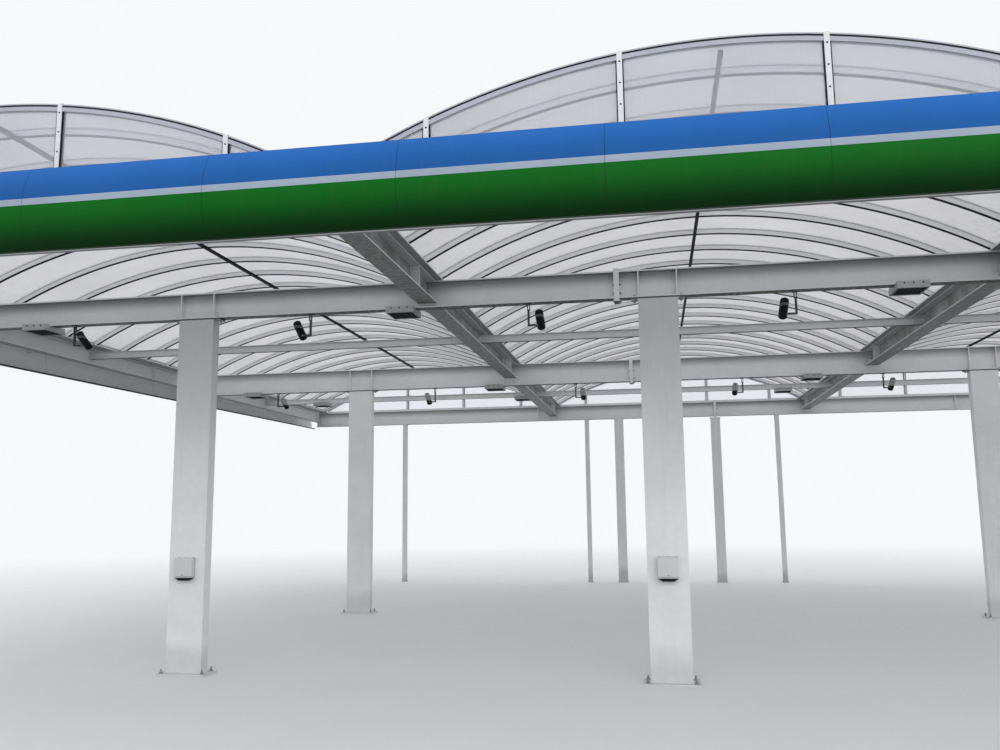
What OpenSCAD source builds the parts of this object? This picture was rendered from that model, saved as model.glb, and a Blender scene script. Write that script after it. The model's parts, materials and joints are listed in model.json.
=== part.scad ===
// Filling station canopy: three translucent barrel vaults side by side on a steel frame.
// Two rows of box columns carry two main beams. Valley and edge beams are framed between the
// webs of the cross beams, arched glazing bars span between them, and a curved striped fascia
// closes the front and the sides. The back edge stands on slender posts.
// Millimetres, X along the front, Y towards the back, Z up from the paving.

/* [Plan] */
// Distance between neighbouring valley lines
vault_pitch = 8340; // [7600:10:9000]
// Distance from the left column to the middle column
pitch_left = 7275; // [6000:10:7600]
// Distance from the middle column to the right column
pitch_right = 7170; // [6000:10:7600]
// Offset of the middle column from the middle of the canopy
column_shift = -668; // [-900:1:900]
// Distance from the front row of columns to the back row
row_pitch = 8240; // [6000:20:9000]
// Distance from the front row to the front end of the vaults
front_overhang = 4485; // [3000:5:5000]
// Distance from the back row to the rear edge beam
rear_overhang = 9410; // [6000:10:10000]
// Offset of the side edge beams beyond the outer vault springing
edge_out = 110; // [0:5:300]
// How far the side fascia and gutters run on past the rear edge beam
side_overrun = 1100; // [0:10:1500]

/* [Heights] */
// Height of the underside of the front main beam
clear_height = 5500; // [4500:10:6000]
// Depth of the front main beam and front edge beam
front_beam_h = 415; // [400:5:500]
// Depth of the back main beam
back_beam_h = 520; // [420:5:600]
// Depth of the rear edge beam
rear_beam_h = 480; // [420:5:600]
// Depth of the valley beams
valley_beam_h = 330; // [250:5:390]
// Depth of the side edge beams
edge_beam_h = 330; // [250:5:390]
// Rise of the vaults above the top of the beams
vault_rise = 1171; // [800:1:1500]

/* [Sections] */
// Flange width of the main beams
main_beam_b = 200; // [150:5:300]
// Flange width of the valley beams
valley_beam_b = 300; // [250:5:400]
// Flange width of the side edge beams
edge_beam_b = 200; // [150:5:300]
// Depth of the tie beams
tie_h = 145; // [100:5:180]
// Width of a column along the row
column_w = 580; // [400:5:700]
// Depth of a column across the row
column_d = 210; // [180:5:300]
// Diameter of the anchor bolt holes in the column feet
anchor_hole_d = 30; // [20:1:40]

/* [Vault] */
// Number of arched bars in a vault
rib_count = 23; // [16:1:26]
// Distance between arched bars
rib_pitch = 958; // [800:2:1200]
// Distance from the front gable to the first arched bar
rib_first = 600; // [300:5:900]
// Width of an arched bar
rib_w = 40; // [30:2:80]
// Depth of an arched bar under the sheet
rib_under = 75; // [50:1:100]
// Thickness of the vault sheets
sheet_t = 16; // [10:1:25]
// Spacing of the upright bars in the gables
gable_bar_pitch = 2030; // [1800:5:2400]

/* [Fascia] */
// Height of the top edge of the fascia
fascia_top = 6207; // [6100:1:6400]
// Height of the lower edge of the green band at the front
fascia_bottom = 5270; // [5100:1:5400]
// Rise of the lower edge along the sides, from front to back
side_rise = 230; // [0:5:300]
// How far the fascia bulges outwards
fascia_bulge = 140; // [60:5:200]
// Length of one fascia panel
panel_pitch = 2100; // [1500:10:2500]

/* [Hidden] */
$fn = 48;

steel = "gainsboro";
eps = 1;

deck = clear_height + front_beam_h;
web_t = 12;
flange_t = 20;
stiffener_t = 20;

// Joints of the beams along Y: clearance of the cut-back top flange, depth of the cut in the
// web and the narrow end plates.
cope_gap = 12;
cope_drop = 36;
end_plate_t = 14;
end_plate_b = 80;

half_plan = 1.5 * vault_pitch;
edge_x = half_plan + edge_out;

// Y runs from the middle of the whole depth, so the front row lies at row_y[0].
fascia_gap = 215;
fascia_t = 30;
fascia_fn = 180;
rear_end = row_pitch + rear_overhang + main_beam_b / 2 + side_overrun;
front_end = -front_overhang - fascia_gap - fascia_bulge;
y_mid = (rear_end + front_end) / 2;
row_y = [-y_mid, row_pitch - y_mid];
rear_y = row_pitch + rear_overhang - y_mid;
gable_y = -front_overhang - y_mid;
back_edge = rear_end - y_mid;

column_x = [column_shift - pitch_left, column_shift, column_shift + pitch_right];
valley_x = [-vault_pitch / 2, vault_pitch / 2];
vault_x = [-vault_pitch, 0, vault_pitch];
line_x = [-edge_x, valley_x[0], valley_x[1], edge_x];

// The vault arc would meet the deck at the valley line and rises to the crown.
// Its ends stop at a whole step of 1.5 degrees, at least foot_clear from the valley line.
foot_clear = 150;
arc_fn = 240;
arc_step = 360 / arc_fn;
vault_r = (pow(vault_pitch / 2, 2) + pow(vault_rise, 2)) / (2 * vault_rise);
vault_axis_z = deck + vault_rise - vault_r;
vault_angle = arc_step * floor(asin((vault_pitch / 2 - foot_clear) / vault_r) / arc_step);
spring_x = vault_r * sin(vault_angle);
foot_r = vault_r - sheet_t - rib_under;
foot_z = vault_axis_z + foot_r * cos(vault_angle) - deck;
foot_gap = vault_pitch / 2 - foot_r * sin(vault_angle);

// Gutters, their curbs beside the sheets and the eaves rails, measured from the valley line.
curb_t = 6;
curb_h = 92;
curb_x = vault_pitch / 2 - spring_x - curb_t;
rail_w = 52;
rail_gap = 2;
rail_x = foot_gap + rail_w;
gutter_t = 5;

// Cover strips over the arched bars, and the square tube along each crown.
rib_over = 22;
cover_lap = 4;
ridge_s = 48;
ridge_wall = 5;

// Depth of the gable frames, and how far the sheets, gutters and rails stop short of their
// middle plane.
gable_t = 60;
sheet_end = gable_t / 2 + 2;
gutter_end = sheet_end + 2;
rail_end = gutter_end + 2;
gable_arch_h = 62;
sill_h = 60;
sill_end = 30;
upright_w = 56;
upright_out = 6;
upright_over = 12;
glass_lap = 8;

cross_web_y = [gable_y, row_y[0], row_y[1], rear_y];

// Web stiffeners of the beams along Y, measured from the rear end of each length.
valley_stiffeners = [[1050], [850], [850]];
edge_stiffeners = [[845], [1740], [400]];

// Bolted splices of the cross beams, with plates that reach past the beam all round.
splice_x = column_x[1] - 600;
rear_splice_x = column_x[1] + 1930;
splice_plate_t = 40;
splice_side = 8;
splice_under = 45;
splice_over = 35;
rear_stiffener_x = [-4678, 8782];

// Cap plates, foot plates and anchor holes of the columns.
cap_t = 25;
foot_t = 30;
foot_x = 780;
foot_y = 420;
anchor_x = 660;
anchor_y = 300;
column_wall = 12;

// Low tie beams.
tie_b = 100;
tie_web_t = 7;
tie_flange_t = 10;
tie_z = clear_height + 196;
middle_tie_y = row_y[0] + 4080;
rear_tie_y = row_y[1] + 4730;

// Posts under the rear edge beam.
slim_post_x = [-9443, -3028, 3242];
slim_post = [140, 140];
wide_post_x = [-1943, 1259];
wide_post = [300, 200];
post_web_t = 9;
post_flange_t = 12;
post_plate_t = 15;
post_plate_lip = 20;

// The fascia's outer face at mid height bulges out from these lines.
fascia_x = 13300;
fascia_y = gable_y - fascia_gap;
fascia_mid = (fascia_top + fascia_bottom) / 2;
fascia_r = (pow((fascia_top - fascia_bottom) / 2, 2) + pow(fascia_bulge, 2)) / (2 * fascia_bulge);
stripe_z = [5745, 5820];

// Open joints between the panels, and how far the cutting shapes reach past the fascia.
panel_gap = 4;
panel_shift = -128;
joint_reach = 400;
mitre_reach = 1000;
wedge_start = 100;
slack = 50;

// Plates between the fascia and the frame.
bracket_pitch = 2340;
bracket_first = 600;
bracket_t = 12;
bracket_hole_d = 100;

// Flat light housings and the dark lenses let into their undersides.
light_x = [-10770, -4570, 2850, 9700];
light_w = 430;
light_d = 500;
light_h = 100;
light_lap = 25;
light_back = 60;
light_rim = 20;
lens_t = 10;
lens_lift = 6;

// Cameras on short angle brackets.
camera_x = [-10150, -6060, -2600, 1287, 4392, 8442];
camera_tilt = 32;
arm_drop = 345;
arm_s = 30;
arm_reach = 150;
fork_drop = 90;
fork_t = 12;

// Towel dispensers on the front columns.
dispenser_w = 290;
dispenser_z = 1440;

// Two-dimensional outline of an I section, its top at 0 and centred on X.
module i_outline(h, b, tw = web_t, tf = flange_t) {
    translate([-b / 2, -tf]) square([b, tf]);
    translate([-b / 2, -h]) square([b, tf]);
    translate([-tw / 2, -h]) square([tw, h]);
}

// I beam along X from x0 to x1 with its top at z.
module beam_x(x0, x1, y, z, h, b, tw = web_t, tf = flange_t) {
    translate([x0, y, z]) rotate([90, 0, 90])
        linear_extrude(x1 - x0) i_outline(h, b, tw, tf);
}

// Web stiffeners on both sides of a beam that runs along X, flush with its flanges.
module stiffener(x, y, h) {
    translate([x - stiffener_t / 2, y - main_beam_b / 2, deck - h + flange_t - eps])
        cube([stiffener_t, main_beam_b, h - 2 * flange_t + 2 * eps]);
}

// End plate of a bolted splice, taller than the beam.
module splice_plate(x, y, h) {
    translate([x, y - main_beam_b / 2 - splice_side, deck - h - splice_under])
        cube([splice_plate_t, main_beam_b + 2 * splice_side, h + splice_under + splice_over]);
}

// Box column with its foot plate and cap plate welded on.
module column(x, y, top) {
    color(steel) translate([x, y, 0]) {
        difference() {
            translate([-column_w / 2, -column_d / 2, foot_t - eps])
                cube([column_w, column_d, top - foot_t - cap_t + 2 * eps]);
            translate([-column_w / 2 + column_wall, -column_d / 2 + column_wall, foot_t])
                cube([column_w - 2 * column_wall, column_d - 2 * column_wall, top - foot_t - cap_t]);
        }
        difference() {
            translate([-foot_x / 2, -foot_y / 2, 0]) cube([foot_x, foot_y, foot_t]);
            for (sx = [-1, 1], sy = [-1, 1])
                translate([sx * anchor_x / 2, sy * anchor_y / 2, -eps])
                    cylinder(d = anchor_hole_d, h = foot_t + 2 * eps);
        }
        translate([-foot_x / 2, -column_d / 2, top - cap_t]) cube([foot_x, column_d, cap_t]);
    }
}

module column_front_left() { column(column_x[0], row_y[0], clear_height); }
module column_front_middle() { column(column_x[1], row_y[0], clear_height); }
module column_front_right() { column(column_x[2], row_y[0], clear_height); }
module column_back_left() { column(column_x[0], row_y[1], deck - back_beam_h); }
module column_back_middle() { column(column_x[1], row_y[1], deck - back_beam_h); }
module column_back_right() { column(column_x[2], row_y[1], deck - back_beam_h); }

// Length of a cross beam from x0 to x1, with a stiffener at each place in the list.
module cross_beam(x0, x1, y, h, places) {
    color(steel) {
        beam_x(x0, x1, y, deck, h, main_beam_b);
        for (x = places) stiffener(x, y, h);
    }
}

// Stiffeners stand over both side walls of each column.
function over_columns(list) = [for (x = list, s = [-1, 1]) x + s * (column_w / 2 - 10)];

cross_end = edge_x + edge_beam_b / 2;

module left_length(y, h, joint, places) {
    cross_beam(-cross_end, joint - splice_plate_t + eps, y, h, places);
    color(steel) splice_plate(joint - splice_plate_t, y, h);
}

module right_length(y, h, joint, places) {
    cross_beam(joint + splice_plate_t - eps, cross_end, y, h, places);
    color(steel) splice_plate(joint, y, h);
}

module front_main_beam_left() {
    left_length(row_y[0], front_beam_h, splice_x, over_columns([column_x[0]]));
}

module front_main_beam_right() {
    right_length(row_y[0], front_beam_h, splice_x, over_columns([column_x[1], column_x[2]]));
}

module back_main_beam_left() {
    left_length(row_y[1], back_beam_h, splice_x, over_columns([column_x[0]]));
}

module back_main_beam_right() {
    right_length(row_y[1], back_beam_h, splice_x, over_columns([column_x[1], column_x[2]]));
}

module rear_edge_beam_left() {
    left_length(rear_y, rear_beam_h, rear_splice_x, [rear_stiffener_x[0]]);
}

module rear_edge_beam_right() {
    right_length(rear_y, rear_beam_h, rear_splice_x, [rear_stiffener_x[1]]);
}

// Carries the front gables and the fascia, and is hidden behind the fascia.
module front_edge_beam() {
    color(steel) beam_x(-cross_end, cross_end, gable_y, deck, front_beam_h, main_beam_b);
}

// One length of a beam along Y between two cross beams. Its top flange is coped clear of
// theirs, its web and lower flange run on to their webs, and narrow end plates are bolted
// there. Stiffeners flush with the flanges stand at each place in the list, measured from the
// rear end.
module coped_beam(y0, y1, x, h, b, stiffeners) {
    cope = main_beam_b / 2 + cope_gap;
    length = y1 - y0;
    color(steel) translate([x, y1, deck]) rotate([90, 0, 0]) {
        translate([0, 0, cope]) linear_extrude(length - 2 * cope)
            translate([-b / 2, -flange_t]) square([b, flange_t]);
        linear_extrude(length) translate([-b / 2, -h]) square([b, flange_t]);
        linear_extrude(length) translate([-web_t / 2, -h]) square([web_t, h - cope_drop]);
        translate([0, 0, cope]) linear_extrude(length - 2 * cope)
            translate([-web_t / 2, -h]) square([web_t, h]);
        for (z = [0, length - end_plate_t]) translate([0, 0, z]) linear_extrude(end_plate_t)
            translate([-end_plate_b / 2, -h]) square([end_plate_b, h - cope_drop]);
        for (z = stiffeners) translate([0, 0, z - stiffener_t / 2]) linear_extrude(stiffener_t)
            translate([-b / 2, -h]) square([b, h]);
    }
}

// A line of beams along Y: one length between each pair of cross beams.
module beam_line(x, h, b, stiffeners) {
    for (k = [0:2]) {
        y0 = cross_web_y[k] + web_t / 2;
        y1 = cross_web_y[k + 1] - web_t / 2;
        coped_beam(y0, y1, x, h, b, stiffeners[k]);
    }
}

module left_edge_beam() { beam_line(line_x[0], edge_beam_h, edge_beam_b, edge_stiffeners); }
module left_valley_beam() { beam_line(line_x[1], valley_beam_h, valley_beam_b, valley_stiffeners); }
module right_valley_beam() { beam_line(line_x[2], valley_beam_h, valley_beam_b, valley_stiffeners); }
module right_edge_beam() { beam_line(line_x[3], edge_beam_h, edge_beam_b, edge_stiffeners); }

// Low tie beams run from web to web across all three vaults.
module tie_row(y) {
    color(steel) for (k = [0:2])
        beam_x(line_x[k] + web_t / 2, line_x[k + 1] - web_t / 2, y, tie_z + tie_h, tie_h, tie_b,
            tie_web_t, tie_flange_t);
}

module middle_tie_beams() { tie_row(middle_tie_y); }
module rear_tie_beams() { tie_row(rear_tie_y); }

// Post of I section with foot and cap plates, size[0] wide and size[1] deep.
module post(x, size, top) {
    plate = size + 2 * post_plate_lip * [1, 1];
    color("white") translate([x, rear_y, 0]) {
        linear_extrude(top) translate([0, size[1] / 2])
            i_outline(size[1], size[0], post_web_t, post_flange_t);
        for (z = [0, top - post_plate_t])
            translate([-plate[0] / 2, -plate[1] / 2, z]) cube([plate[0], plate[1], post_plate_t]);
    }
}

// The second wide post stands under the bolted splice, so it is shorter.
module rear_posts() {
    for (x = slim_post_x) post(x, slim_post, deck - rear_beam_h);
    post(wide_post_x[0], wide_post, deck - rear_beam_h);
    post(wide_post_x[1], wide_post, deck - rear_beam_h - splice_under);
}

// Arched strip between two radii, centred on a vault, from y0 to y1.
module arch(x, y0, y1, r0, r1) {
    translate([x, y1, vault_axis_z]) rotate([90, 0, 0])
        rotate_extrude(angle = 2 * vault_angle, start = 90 - vault_angle, $fn = arc_fn)
            translate([r0, 0]) square([r1 - r0, y1 - y0]);
}

module vault_sheet(x) {
    color("whitesmoke", 0.5)
        arch(x, gable_y + sheet_end, rear_y - sheet_end, vault_r - sheet_t, vault_r);
}

module left_vault_sheet() { vault_sheet(vault_x[0]); }
module middle_vault_sheet() { vault_sheet(vault_x[1]); }
module right_vault_sheet() { vault_sheet(vault_x[2]); }

// Arched glazing bars: a deep bar under the sheets and a thin cover strip above them.
module vault_ribs(x) {
    color("silver") for (k = [0:rib_count - 1]) {
        y = gable_y + rib_first + k * rib_pitch;
        arch(x, y - rib_w / 2, y + rib_w / 2, foot_r, vault_r - sheet_t);
        arch(x, y - rib_w / 2 - cover_lap, y + rib_w / 2 + cover_lap, vault_r, vault_r + rib_over);
    }
}

module left_vault_ribs() { vault_ribs(vault_x[0]); }
module middle_vault_ribs() { vault_ribs(vault_x[1]); }
module right_vault_ribs() { vault_ribs(vault_x[2]); }

// A square tube under the arched bars ties them together along each crown.
module ridge_bars() {
    color("dimgray") for (x = vault_x)
        translate([x, rear_y - sheet_end, vault_axis_z + foot_r - ridge_s / 2]) rotate([90, 0, 0])
            linear_extrude(rear_y - gable_y - 2 * sheet_end) difference() {
                square(ridge_s, center = true);
                square(ridge_s - 2 * ridge_wall, center = true);
            }
}

// Folded gutter on top of a valley beam, with an upstand beside the sheets on each side.
module valley_gutters() {
    color("silver") for (x = valley_x)
        translate([x, rear_y - gutter_end, deck]) rotate([90, 0, 0])
            linear_extrude(rear_y - gable_y - 2 * gutter_end) {
                translate([-rail_x, 0]) square([2 * rail_x, gutter_t]);
                for (s = [-1, 1]) translate([(s * (2 * curb_x - curb_t) - curb_t) / 2, 0])
                    square([curb_t, curb_h]);
            }
}

// Flat rails on the gutters that carry the feet of the arched bars.
module eaves_rails() {
    color("white") for (x = vault_x, s = [-1, 1])
        translate([x + s * vault_pitch / 2, rear_y - rail_end, deck + gutter_t]) rotate([90, 0, 0])
            linear_extrude(rear_y - gable_y - 2 * rail_end)
                translate([s > 0 ? -rail_x : curb_x + rail_gap, 0])
                    square([rail_x - curb_x - rail_gap, foot_z - gutter_t]);
}

// Wide flat gutters between the outer vaults and the side fascia, and a tray along the front
// that stops just short of both.
module edge_gutters() {
    inner = half_plan - rail_x;
    curb = half_plan - curb_x;
    outer = fascia_x - 75;
    front = fascia_y + 60;
    upstand = fascia_top - deck - 30;
    tray = inner - 3;
    color("silver") {
        for (s = [0, 1]) mirror([s, 0, 0]) {
            translate([0, back_edge, deck]) rotate([90, 0, 0])
                linear_extrude(back_edge - front) {
                    translate([inner, 0]) square([outer - inner, gutter_t]);
                    translate([outer - gutter_t, 0]) square([gutter_t, upstand]);
                }
            translate([curb, gable_y + gutter_end, deck + gutter_t - eps])
                cube([curb_t, rear_y - gable_y - 2 * gutter_end, curb_h - gutter_t + eps]);
        }
        translate([-tray, front, deck])
            cube([2 * tray, gable_y - gutter_end - front, gutter_t]);
        translate([-tray, front, deck]) cube([2 * tray, gutter_t, upstand]);
    }
}

// Height above the axis of the vault's surface of radius r at a distance dx from the crown.
function arc_z(dx, r) = vault_axis_z + sqrt(r * r - dx * dx);

// Arched edge bar, sill rail and upright bars of a gable, in one plane.
module gable_frames(y) {
    color("silver") for (x = vault_x) {
        arch(x, y - gable_t / 2, y + gable_t / 2, vault_r - gable_arch_h, vault_r + rib_over);
        translate([x - spring_x + sill_end, y - gable_t / 2, deck])
            cube([2 * (spring_x - sill_end), gable_t, sill_h]);
        for (k = [-1.5:1:1.5]) {
            dx = k * gable_bar_pitch;
            top = arc_z(abs(dx) + upright_w / 2, vault_r + rib_over) + upright_over;
            translate([x + dx - upright_w / 2, y - gable_t / 2 - upright_out, deck])
                cube([upright_w, gable_t + upright_out, top - deck]);
        }
    }
}

module gable_sheets(y) {
    color("whitesmoke", 0.5) for (x = vault_x)
        translate([x, y + sheet_t / 2, vault_axis_z]) rotate([90, 0, 0])
            linear_extrude(sheet_t) intersection() {
                circle(r = vault_r - gable_arch_h + glass_lap, $fn = arc_fn);
                translate([-spring_x + 2 * sill_end, deck - vault_axis_z + sill_h - glass_lap])
                    square([2 * spring_x - 4 * sill_end, 2 * vault_rise]);
            }
}

module front_gable_frames() { gable_frames(gable_y); }
module front_gable_sheets() { gable_sheets(gable_y); }
module rear_gable_frames() { gable_frames(rear_y); }
module rear_gable_sheets() { gable_sheets(rear_y); }

// Curved fascia outline between heights z0 and z1, its outer side towards -X.
module fascia_outline(z0, z1) {
    intersection() {
        translate([fascia_r - fascia_bulge, fascia_mid]) difference() {
            circle(r = fascia_r, $fn = fascia_fn);
            circle(r = fascia_r - fascia_t, $fn = fascia_fn);
        }
        translate([-2 * fascia_bulge, z0]) square([3 * fascia_bulge, z1 - z0]);
    }
}

// The fascia along the front, mitred at both corners.
module front_run(z0, z1) {
    intersection() {
        translate([-fascia_x - 2 * fascia_bulge, fascia_y, 0]) rotate([90, 0, 90])
            linear_extrude(2 * fascia_x + 4 * fascia_bulge) fascia_outline(z0, z1);
        translate([0, fascia_y, z0 - eps]) linear_extrude(z1 - z0 + 2 * eps)
            polygon([
                [-fascia_x - mitre_reach, -mitre_reach], [fascia_x + mitre_reach, -mitre_reach],
                [fascia_x - mitre_reach, mitre_reach], [-fascia_x + mitre_reach, mitre_reach]
            ]);
    }
}

// The fascia along one side, mitred at the front corner.
module side_run(side, z0, z1) {
    run = back_edge - fascia_y + eps;
    mirror([side > 0 ? 1 : 0, 0, 0]) intersection() {
        translate([-fascia_x, back_edge, 0]) rotate([90, 0, 0])
            linear_extrude(run + 3 * fascia_bulge) fascia_outline(z0, z1);
        translate([-fascia_x, fascia_y, z0 - eps]) linear_extrude(z1 - z0 + 2 * eps)
            polygon([
                [-mitre_reach, -mitre_reach + panel_gap], [mitre_reach, mitre_reach + panel_gap],
                [mitre_reach, run], [-mitre_reach, run]
            ]);
    }
}

// Open joints between the panels.
module panel_joints() {
    low = fascia_bottom - slack;
    high = fascia_top + slack;
    for (k = [-6:6])
        translate([panel_shift + (k + 0.5) * panel_pitch - panel_gap / 2, fascia_y - joint_reach, low])
            cube([panel_gap, joint_reach + 2 * fascia_t, high - low]);
    for (k = [1:11])
        translate([-fascia_x - joint_reach, fascia_y + k * panel_pitch - panel_gap / 2, low])
            cube([2 * (fascia_x + joint_reach), panel_gap, high - low]);
}

// The sides lose a long wedge below a line that climbs towards the back.
module side_wedge() {
    start = fascia_y + wedge_start;
    end = back_edge + slack;
    translate([-fascia_x - joint_reach, 0, 0]) rotate([90, 0, 90])
        linear_extrude(2 * (fascia_x + joint_reach)) polygon([
            [start, fascia_bottom - slack], [end, fascia_bottom - slack],
            [end, fascia_bottom + side_rise], [start, fascia_bottom]
        ]);
}

module fascia_band(z0, z1) {
    difference() {
        union() {
            front_run(z0, z1);
            for (side = [-1, 1]) side_run(side, z0, z1);
        }
        panel_joints();
    }
}

module fascia_blue_band() { color([0.2, 0.4, 0.74]) fascia_band(stripe_z[1], fascia_top); }
module fascia_white_stripe() { color([0.78, 0.83, 0.9]) fascia_band(stripe_z[0], stripe_z[1]); }

module fascia_green_band() {
    color([0.03, 0.38, 0.09]) difference() {
        fascia_band(fascia_bottom, stripe_z[0]);
        side_wedge();
    }
}

// Edge strips under the green band, level at the front and climbing along the sides, with a
// narrow gap at both corners.
module fascia_bottom_trim() {
    lip = 28;
    wide = 50;
    out = 10;
    corner_gap = 3;
    run = back_edge - fascia_y - wedge_start;
    lead = wedge_start - (wide - out) - corner_gap;
    color("lightgray") {
        translate([-fascia_x, fascia_y - out, fascia_bottom - lip])
            cube([2 * fascia_x, wide, lip]);
        for (s = [0, 1]) mirror([s, 0, 0])
            translate([-fascia_x - out, fascia_y + wedge_start, fascia_bottom])
                rotate([90, 0, 90]) linear_extrude(wide) polygon([
                    [-lead, -lip], [0, -lip], [run, side_rise - lip],
                    [run, side_rise], [0, 0], [-lead, 0]
                ]);
    }
}

// Steel plates that hold the fascia off the frame, cut to the curve of its back.
module bracket(reach, foot) {
    top = deck - 2;
    hole_out = reach / 2 - 20;
    rotate([90, 0, 0]) linear_extrude(bracket_t, center = true) difference() {
        intersection() {
            translate([fascia_r - fascia_bulge, fascia_mid])
                circle(r = fascia_r - fascia_t, $fn = fascia_fn);
            translate([-fascia_bulge, foot]) square([fascia_bulge + reach, top - foot]);
        }
        translate([hole_out, (foot + deck) / 2]) circle(d = bracket_hole_d);
    }
}

module fascia_brackets() {
    front_foot = clear_height + flange_t;
    side_foot = deck - edge_beam_h + flange_t + 100;
    color(steel) {
        for (k = [-5:5]) translate([k * bracket_pitch, fascia_y, 0]) rotate([0, 0, 90])
            mirror([0, 1, 0]) bracket(fascia_gap - main_beam_b / 2, front_foot);
        for (s = [0, 1], k = [0:9]) mirror([s, 0, 0])
            translate([-fascia_x, gable_y + bracket_first + k * bracket_pitch, 0])
                bracket(fascia_x - edge_x - edge_beam_b / 2, side_foot);
    }
}

// Housings that clasp the lower flange of a beam over each lane.
light_rows = [
    [row_y[0], clear_height + light_lap],
    [row_y[1], deck - back_beam_h + light_lap],
    [rear_tie_y, tie_z + light_lap]
];

// Opening of a housing and the lens that fills it.
module light_window(t) {
    translate([light_rim, light_rim, 0])
        cube([light_w - 2 * light_rim, light_d - 2 * light_rim, t]);
}

module at_lights() {
    for (r = light_rows, x = light_x)
        translate([x - light_w / 2, r[0] - light_d / 2 + light_back, r[1] - light_h]) children();
}

module downlight_housings() {
    color("white") at_lights() difference() {
        cube([light_w, light_d, light_h]);
        translate([0, 0, -eps]) light_window(lens_lift + lens_t + eps);
    }
}

module downlight_lenses() {
    color("black") at_lights() translate([0, 0, lens_lift]) light_window(lens_t);
}

camera_rows = [[row_y[0], clear_height], [row_y[1], deck - back_beam_h]];

// Angle bracket under the beam: clamp plate, forked hanger and a short arm to the camera.
module camera_brackets() {
    color("darkgray") for (r = camera_rows, k = [0:5])
        translate([camera_x[k], r[0], r[1]]) mirror([k % 2, 0, 0]) {
            translate([-45, -60, -10]) cube([90, 120, 10]);
            for (x = [-20, 14])
                translate([x, -arm_s / 2, -fork_drop]) cube([fork_t, arm_s, fork_drop - 9]);
            translate([-20, -arm_s / 2, -fork_drop - fork_t])
                cube([46, arm_s, fork_t + 2]);
            translate([-arm_s / 2, -arm_s / 2, -arm_drop])
                cube([arm_s, arm_s, arm_drop - fork_drop - fork_t + 2]);
            translate([-arm_s / 2, -arm_s / 2, -arm_drop]) cube([arm_reach, arm_s, 26]);
        }
}

// Round camera body under a sun shield, aimed down and towards the back.
module camera_housings() {
    color("black") for (r = camera_rows, k = [0:5])
        translate([camera_x[k], r[0], r[1]]) mirror([k % 2, 0, 0])
            translate([175, 60, -arm_drop + 60]) rotate([-90 - camera_tilt, 0, 0]) {
                translate([0, 0, -210]) cylinder(r = 50, h = 270);
                translate([0, 0, -230]) cylinder(r = 60, h = 34);
                translate([0, 0, 45]) cylinder(r = 57, h = 30);
                translate([0, 0, -200]) rotate_extrude(angle = 200, start = -10)
                    translate([49, 0]) square([15, 300]);
            }
}

module towel_dispensers() {
    color("white") for (x = column_x)
        translate([x - dispenser_w / 2, row_y[0] - column_d / 2, dispenser_z]) rotate([90, 0, 90])
            linear_extrude(dispenser_w) difference() {
                polygon([[0, 0], [0, 305], [-95, 305], [-130, 270], [-130, 40], [-105, 0]]);
                translate([-112, -eps]) square([70, 26]);
            }
}

column_front_left();
column_front_middle();
column_front_right();
column_back_left();
column_back_middle();
column_back_right();
front_edge_beam();
front_main_beam_left();
front_main_beam_right();
back_main_beam_left();
back_main_beam_right();
rear_edge_beam_left();
rear_edge_beam_right();
left_edge_beam();
left_valley_beam();
right_valley_beam();
right_edge_beam();
middle_tie_beams();
rear_tie_beams();
rear_posts();
left_vault_sheet();
middle_vault_sheet();
right_vault_sheet();
left_vault_ribs();
middle_vault_ribs();
right_vault_ribs();
ridge_bars();
valley_gutters();
edge_gutters();
eaves_rails();
front_gable_frames();
front_gable_sheets();
rear_gable_frames();
rear_gable_sheets();
fascia_blue_band();
fascia_white_stripe();
fascia_green_band();
fascia_bottom_trim();
fascia_brackets();
downlight_housings();
downlight_lenses();
camera_brackets();
camera_housings();
towel_dispensers();
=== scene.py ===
# %% [markdown]
# Filling station canopy in Blender.
# The real thing is an open roof on six box columns. Three barrel vaults of translucent sheet
# rest on a frame of welded I beams, and a curved fascia in blue, white and green runs round
# the front and the sides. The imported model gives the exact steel, so this script only adds
# what it leaves out: bolts, seals, screws, glass and the look of each surface.

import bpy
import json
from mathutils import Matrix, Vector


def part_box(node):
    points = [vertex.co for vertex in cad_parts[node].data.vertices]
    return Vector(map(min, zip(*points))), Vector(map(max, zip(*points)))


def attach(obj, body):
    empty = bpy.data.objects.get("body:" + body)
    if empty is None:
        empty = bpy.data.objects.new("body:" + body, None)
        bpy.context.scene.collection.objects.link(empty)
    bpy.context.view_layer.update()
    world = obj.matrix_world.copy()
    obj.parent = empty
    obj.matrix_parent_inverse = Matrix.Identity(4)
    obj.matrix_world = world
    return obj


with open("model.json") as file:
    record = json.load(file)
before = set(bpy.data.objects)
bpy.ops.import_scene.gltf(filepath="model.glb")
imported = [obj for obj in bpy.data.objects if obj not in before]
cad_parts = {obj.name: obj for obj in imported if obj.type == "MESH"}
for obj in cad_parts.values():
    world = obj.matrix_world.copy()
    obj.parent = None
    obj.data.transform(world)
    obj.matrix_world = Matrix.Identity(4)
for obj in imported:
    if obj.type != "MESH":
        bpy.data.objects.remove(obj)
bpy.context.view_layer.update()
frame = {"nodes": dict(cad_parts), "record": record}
nodes = frame["nodes"]

# %% [markdown]
# Blender's own module makes objects and materials. Arrays of numbers are quick for thousands
# of small parts, and vectors and matrices from mathutils place them. A loop over each_of
# meets every value of one list together with every value of the next.

# %% Modules
import json
import math
from itertools import product as each_of

import bpy
import numpy as np
from mathutils import Matrix, Vector

print("Blender", bpy.app.version_string)

# %% [markdown]
# Every added piece needs a place. Typing the places in again would let them drift from the
# steel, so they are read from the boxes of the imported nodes. Only small details, such as a
# bolt's size, are new numbers here.

# %% Read the main places from the model


def middle(name):
    """The centre of a node's box."""
    low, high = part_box(name)
    return (low + high) / 2


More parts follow.
